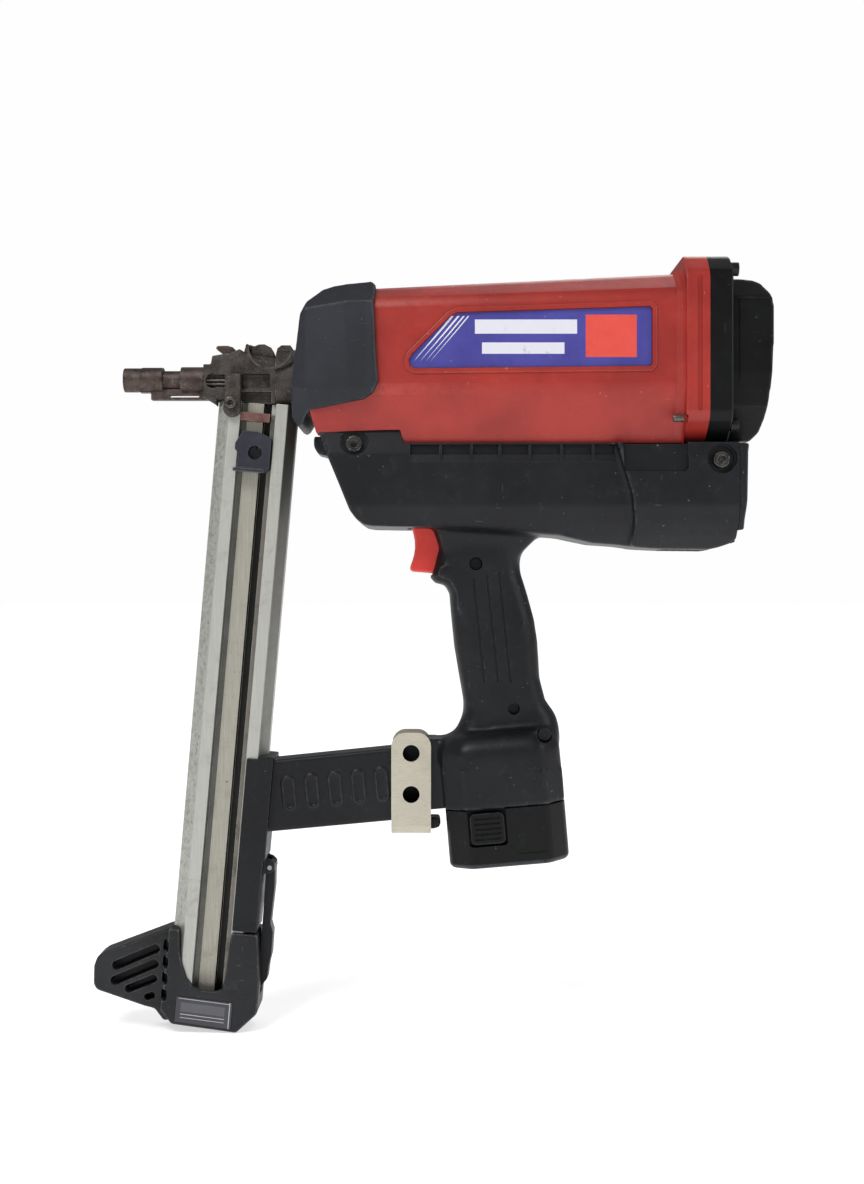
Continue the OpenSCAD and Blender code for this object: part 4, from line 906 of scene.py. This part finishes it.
def build_door():
    back = [(401.4, -45.6), (407.8, -45.6), (406.8, -52), (406.6, -66), (406.3, -82), (405, -95),
            (405.4, -101), (401.4, -101)]
    panel = shared(across(back, -60, 60), along(hull_section(43), 400, 409))
    panel = round_off(panel, 1.6, 4, lambda mid, way: mid.x > 404)
    hook = across([(402, -98), (405.4, -98), (406, -103), (405, -107.9), (402.6, -108.8), (400.2, -107.9),
                   (399.4, -105.5),
                   (401.4, -102)], -6.5, 6.5)
    door = cut(joined(panel, hook), rod((402.6, -9, -105.5), (402.6, 9, -105.5), 1.56),
               *both_sides(block((403, -37.5, -62), (409, -34.8, -50))))
    make("bay_door", door, "fuel_door", "black_moulding", "fuel_door", smooth=24, level=True)


# ---------- trigger and battery ----------

def build_trigger():
    side = [(190.4, -96.5), (191.6, -99.6), (192.6, -103.4), (193.3, -107.6), (193.4, -112),
            (192.8, -116.4), (191.6, -120.6),
            (190.3, -124.2), (190.2, -126.2), (191.6, -127.4), (204.8, -128.5), (210, -127.5),
            (213, -118.5), (213.5, -108.5),
            (212, -96.5)]
    pull = round_off(across(side, -8.5, 8.5), 1.5, 4, lambda mid,
                     way: abs(abs(mid.y) - 8.5) < 0.1 and mid.z < -97)
    pull = cut(joined(pull, block((204, -5, -117.5), (218, 5, -103.5))),
               rod((212, 0, -110.5), (220, 0, -110.5), 3))
    make("trigger_pull", pull, "trigger", "trigger_red", "trigger", smooth=24, level=True)


def build_battery():
    case = upright(octagon(78, 72, 13), -38, -0.3)
    case = round_off(case, 3.5, 4, lambda mid, way: abs(way.z) > 0.9)
    case = round_off(case, 4, 5, lambda mid, way: mid.z < -37.9, 60)
    case = joined(case, upright(octagon(70, 64, 11.3), -4, 34))
    window = round_off(block((-25.4, -40, -23.6), (-0.6, -29.6, 4)), 2.5, 4, lambda mid,
                       way: abs(way.y) > 0.9 and mid.z < -10)
    window = shared(window, block((-40, -40, -40), (40, -20, -0.25)))
    case = cut(case, upright(octagon(66, 56, 9), -35, 31), *both_sides(window),
               *both_sides(block((6, -40, -30), (30, -35.5, -29.2))))
    make("battery_shell", placed(case, PACK), "battery", "battery_black", "battery_case", smooth=24,
         level=True)
    for side in (-1, 1):
        button = round_off(block((-24, -37, -22), (-2, -32.4, -2)), 3.2, 5, runs_along_y)
        button = round_off(button, 0.9, 3, lambda mid, way: mid.y < -36.9, 60)
        ribs = [round_off(block((-21.4, -38, z - 0.75), (-4.6, -36.1, z + 0.75)), 0.6, 2, runs_along_x)
                for z in (-18.6, -15.3, -12, -8.7, -5.4)]
        button = cut(button, *ribs)
        if side > 0:
            button = mirrored(button)
        name = "left" if side < 0 else "right"
        make("latch_button_" + name, placed(button, PACK), "battery_latch_" + name, "battery_black",
             "battery_latch_" + name, smooth=24, level=True)


# ---------- magazine ----------

SHOE = [(-27.9, -350.8), (-29, -404.5), (-20.9, -413.2), (21.9, -415.5), (34.5, -402), (34.5, -383),
        (30.6, -350.2),
        (13.4, -350.2), (11.4, -383), (10.4, -387.2), (7, -389.3), (-4, -389.3), (-8.6, -387.4),
        (-13.4, -382), (-17, -373.6),
        (-19.4, -365), (-20.8, -350.8)]
WING = [(-24, -350.6), (-30, -352.6), (-70, -371.6), (-74.1, -374.8), (-75.7, -381), (-75, -393),
        (-72.5, -396.5), (-40, -404.6),
        (-33.5, -405.6), (-27, -413), (-22, -412)]


def foot_slot(x0, z0, x1, z1, r):
    """Slots with round ends in both faces of the wing, as far as the web between them."""
    lean = Vector((z0 - z1, x1 - x0)).normalized() * r
    band = across([(x0 + lean[0], z0 + lean[1]), (x1 + lean[0], z1 + lean[1]), (x1 - lean[0], z1 - lean[1]),
                   (x0 - lean[0], z0 - lean[1])], -20, -1.2)
    return both_sides(joined(band, rod((x0, -20, z0), (x0, -1.2, z0), r, 24),
                             rod((x1, -20, z1), (x1, -1.2, z1), r, 24)))


def build_foot():
    shoe = round_off(across(SHOE, -17.5, 17.5), 1.2, 2)
    wing = round_off(across(WING, -12, 12), 1.6, 3)
    cuts = []
    for x0, z0, x1, z1, r in ((-60.8, -379.2, -36.2, -366.2, 3.0), (-61, -389.2, -36.2, -376.2, 3.0),
                              (-51.4, -393.8, -36, -386, 2.7), (-38.6, -398.2, -36, -397, 2.2)):
        cuts += foot_slot(x0, z0, x1, z1, r)
    for x, z in ((-27.4, -363), (-26.9, -373.6), (-26.5, -384), (-26.1, -394.6)):
        cuts += both_sides(round_off(block((x - 3.6, -20, z - 3.6), (x + 0.7, -6, z + 3.6)), 1.2, 2,
                                     runs_along_y))
    cuts.append(block((28, -7, -392), (44, 7, -340)))
    cuts += both_sides(block((-19.3, -19, -416), (19, -17.35, -394)))
    whole = cut(joined(shoe, wing), *cuts)
    soft = melted(placed(whole, RAIL), 0.62, 2)
    foot = cut(soft, rail_room(0.3, -392.3, 0))
    make("foot_moulding", crested(foot, 1.4), "tool", "grey_moulding", "magazine_foot", smooth=40)


def build_bracket():
    saddle = round_off(across([(13.6, -235.4), (13.6, -349), (29.6, -349), (30, -301.2), (31.3, -301.2),
                               (31.3, -233), (22, -233),
                               (21.6, -235.4)], -17.5, 17.5), 1.6, 3)
    lugs = both_sides(round_off(across([(29, -301), (34, -301.5), (37, -304), (37.6, -308), (35, -310.6),
                                        (29, -312)], -10, -6.9), 0.5))
    arm = round_off(across([(94, -252.3), (200, -241.5), (200, -289.5), (91, -299.6)], -13, 13), 2.2, 4,
                    lambda mid, way: abs(way.x) > 0.8)
    ovals = []
    for i in range(5):
        lean = tilted(110.5 + i * 15.3, -273.5 + i * 1.45, -5.3)
        pad = joined(rod((0, -14.1, 7), (0, -12, 7), 4.3, 28), rod((0, -14.1, -7), (0, -12, -7), 4.3, 28),
                     block((-4.3, -14.1, -7), (4.3, -12, 7)))
        dish = joined(rod((0, -15, 6.6), (0, -13.3, 6.6), 3, 24),
                      rod((0, -15, -6.6), (0, -13.3, -6.6), 3, 24),
                      block((-3, -15, -6.6), (3, -13.3, 6.6)))
        ovals += both_sides(placed(cut(pad, dish), lean))
    tab = round_off(across([(190, -286), (199.4, -286), (200.6, -290.2), (209.6, -290.2), (210.6, -293.4),
                            (209.4, -296.4),
                            (206, -297.4), (190, -297.4)], -9.5, 9.5), 1, 2)
    whole = joined(placed(joined(saddle, *lugs), RAIL), arm, tab, *ovals)
    soft = melted(whole, 0.62, 2)
    whole = cut(soft, rail_room(0.3, -420, 0), *[rod((191, -15, z), (191, 10, z), 6.6) for z in CLIP_HOLES],
                placed(rod((34.2, -60, -307), (34.2, 60, -307), 1.52, 24), RAIL),
                placed(block((31.3, -6.9, -400), (42, 6.9, -290)), RAIL))
    make("rail_bracket", crested(whole, 1.4), "tool", "black_moulding", "magazine_bracket", smooth=40)


def build_clip():
    outline = ([(178, -301), (204, -301)] + arc(195, -242.5, 9, range(0, 91, 9))
               + arc(187, -242.5, 9, range(90, 181, 9)))
    outer = round_off(block((178, -15.3, -300), (204, 15.3, -230)), 5.5, 6, lambda mid,
                      way: abs(way.x) > 0.9 and mid.z < -299)
    inner = round_off(block((170, -13.3, -298), (210, 13.3, -220)), 3.5, 6, lambda mid,
                      way: abs(way.x) > 0.9 and mid.z < -297)
    sheet = cut(shared(cut(outer, inner), across(outline, -20, 20)),
                *[rod((191, -20, z), (191, 0, z), 5.6) for z in CLIP_HOLES])
    sheet = round_off(sheet, 0.45, 2, None, 50)
    make("hanging_clip", sheet, "tool", "clip_steel", "hanger_clip", smooth=24, level=True)


def build_rail():
    rail = round_off(welded("magazine_rail"), 0.3, 2, None, 28)
    make("rail_extrusion", rail, "tool", "rail_aluminium", "magazine_rail", smooth=20)
    lever = round_off(welded("foot_latch"), 0.7, 3, lambda mid, way: abs(abs(mid.y) - 6.5) < 0.1, 40)
    make("latch_lever", lever, "foot_latch", "black_moulding", "foot_latch", smooth=24, level=True)


# ---------- nose and pusher ----------

def cast_copy(name, node, body, finish, cell=0.4, passes=3, radius=1.2):
    """A CAD node's own solid with the soft edges of a casting."""
    make(name, crested(melted(welded(node), cell, passes), radius), body, finish, node, smooth=45)


def build_bolts():
    """Socket screws with washers, one through each end of the lower housing."""
    bolts = round_off(welded("housing_bolts"), 0.45, 2, lambda mid, way: abs(mid.y) > 30, 50)
    make("housing_screws", bolts, "tool", "bolt_steel", "housing_bolts", smooth=30)
    pad = round_off(welded("skid_pad"), 0.3, 2, None, 40)
    grooves = [block((x, -20, -120), (x + 1, 20, -112.6)) for x in (360, 365, 370, 375, 380)]
    make("rubber_pad", cut(pad, *grooves), "tool", "pad_rubber", "skid_pad", smooth=30)


def build_nose():
    cast_copy("muzzle_sleeve", "contact_tip", "probe", "burnt_steel")
    cast_copy("probe_bar", "contact_arm", "probe", "burnt_steel")
    cast_copy("barrel_tube", "nose_barrel", "tool", "burnt_steel")
    casting = cut(melted(welded("nose_block"), 0.45, 3), block((77.5, -14, -17.5), (99, -6.5, -9.3)),
                  *both_sides(rod((60.4, -14, -2), (60.4, -8.6, -2), 4.9)))
    rods = [rod((56, -10.6, z), (69.5, -10.6, z), 0.8, 20) for z in (-1.4, -4)]
    make("guide_rods", joined(*rods), "tool", "wire_steel", "nose_block", smooth=40)
    make("nose_casting", crested(casting, 1.2), "tool", "cast_steel", "nose_block", smooth=45)
    bar = across([(79.6, 2), (69.2, 2), (69.4, -12)] + arc(73.8, -20.6, 5.9, range(185, 361, 12)), -19.5,
                 -15.4)
    bar = cut(round_off(bar, 0.5, 2), rod((73.3, -24, -17.5), (73.3, -12, -17.5), 2.7))
    make("clamp_bar", crested(melted(bar, 0.4, 2), 1.2), "tool", "cast_steel", "nose_clamp", smooth=45)
    hook = across([(61.3, 20.6), (62.3, 22.2), (69, 22.4), (72.5, 21.4), (75, 19), (79, 17.6), (76, 16.4),
                   (71, 15.6), (66.5, 15.2),
                   (65.6, 17.6), (64, 18.6)], -5.5, 5.5)
    make("catch_hook", crested(melted(hook, 0.35, 3), 1.2), "tool", "burnt_steel", "nose_catch", smooth=45)
    cast_copy("bail_knobs", "bail_lugs", "tool", "cast_steel", 0.4, 4)
    cast_copy("strip_pusher", "nail_pusher", "pusher", "pusher_black", 0.4, 3)
    make("clamp_screw", round_off(welded("nose_screw"), 0.4, 2, None, 50), "tool", "wire_steel",
         "nose_screw", smooth=30)


# ---------- the scene ----------

def lay_floor():
    """A pale floor lit with painted light: it glows, more strongly with distance, until it meets the
    background.
    """
    floor_mesh = bmesh.new()
    bmesh.ops.create_grid(floor_mesh, x_segments=1, y_segments=1, size=30)
    bmesh.ops.translate(floor_mesh, verts=floor_mesh.verts[:], vec=(0.2, 0, cad_low.z - 0.0002))
    floor_data = bpy.data.meshes.new("floor")
    floor_mesh.to_mesh(floor_data)
    floor = bpy.data.objects.new("floor", floor_data)
    scene.collection.objects.link(floor)
    pale = Finish("pale_floor")
    pale.put("Base Color", pale.mix(pale.noise(400, 2), (0.86, 0.86, 0.86, 1), (0.9, 0.9, 0.9, 1)))
    pale.put("Roughness", 0.8)
    reach = pale.node("ShaderNodeVectorMath", {"operation": "LENGTH"}, {0: pale.place}, out="Value")
    # Painted light: the floor glows by its own emission, weaker near the middle of the scene so a soft
    # shadow stays, and almost white far off.
    pale.put("Emission Color", pale.mix(pale.rise(reach, 0.5, 2.0), (0.58, 0.58, 0.58, 1),
                                        (0.86, 0.86, 0.86, 1)))
    pale.put("Emission Strength", 1.0)
    floor_data.materials.append(pale.material)


put_camera()
light_studio()
coat_cad_nodes()
build_handle()
build_housing()
build_bumper()
build_back()
build_door()
build_trigger()
build_battery()
build_foot()
build_bracket()
build_clip()
build_rail()
build_bolts()
build_nose()
lay_floor()
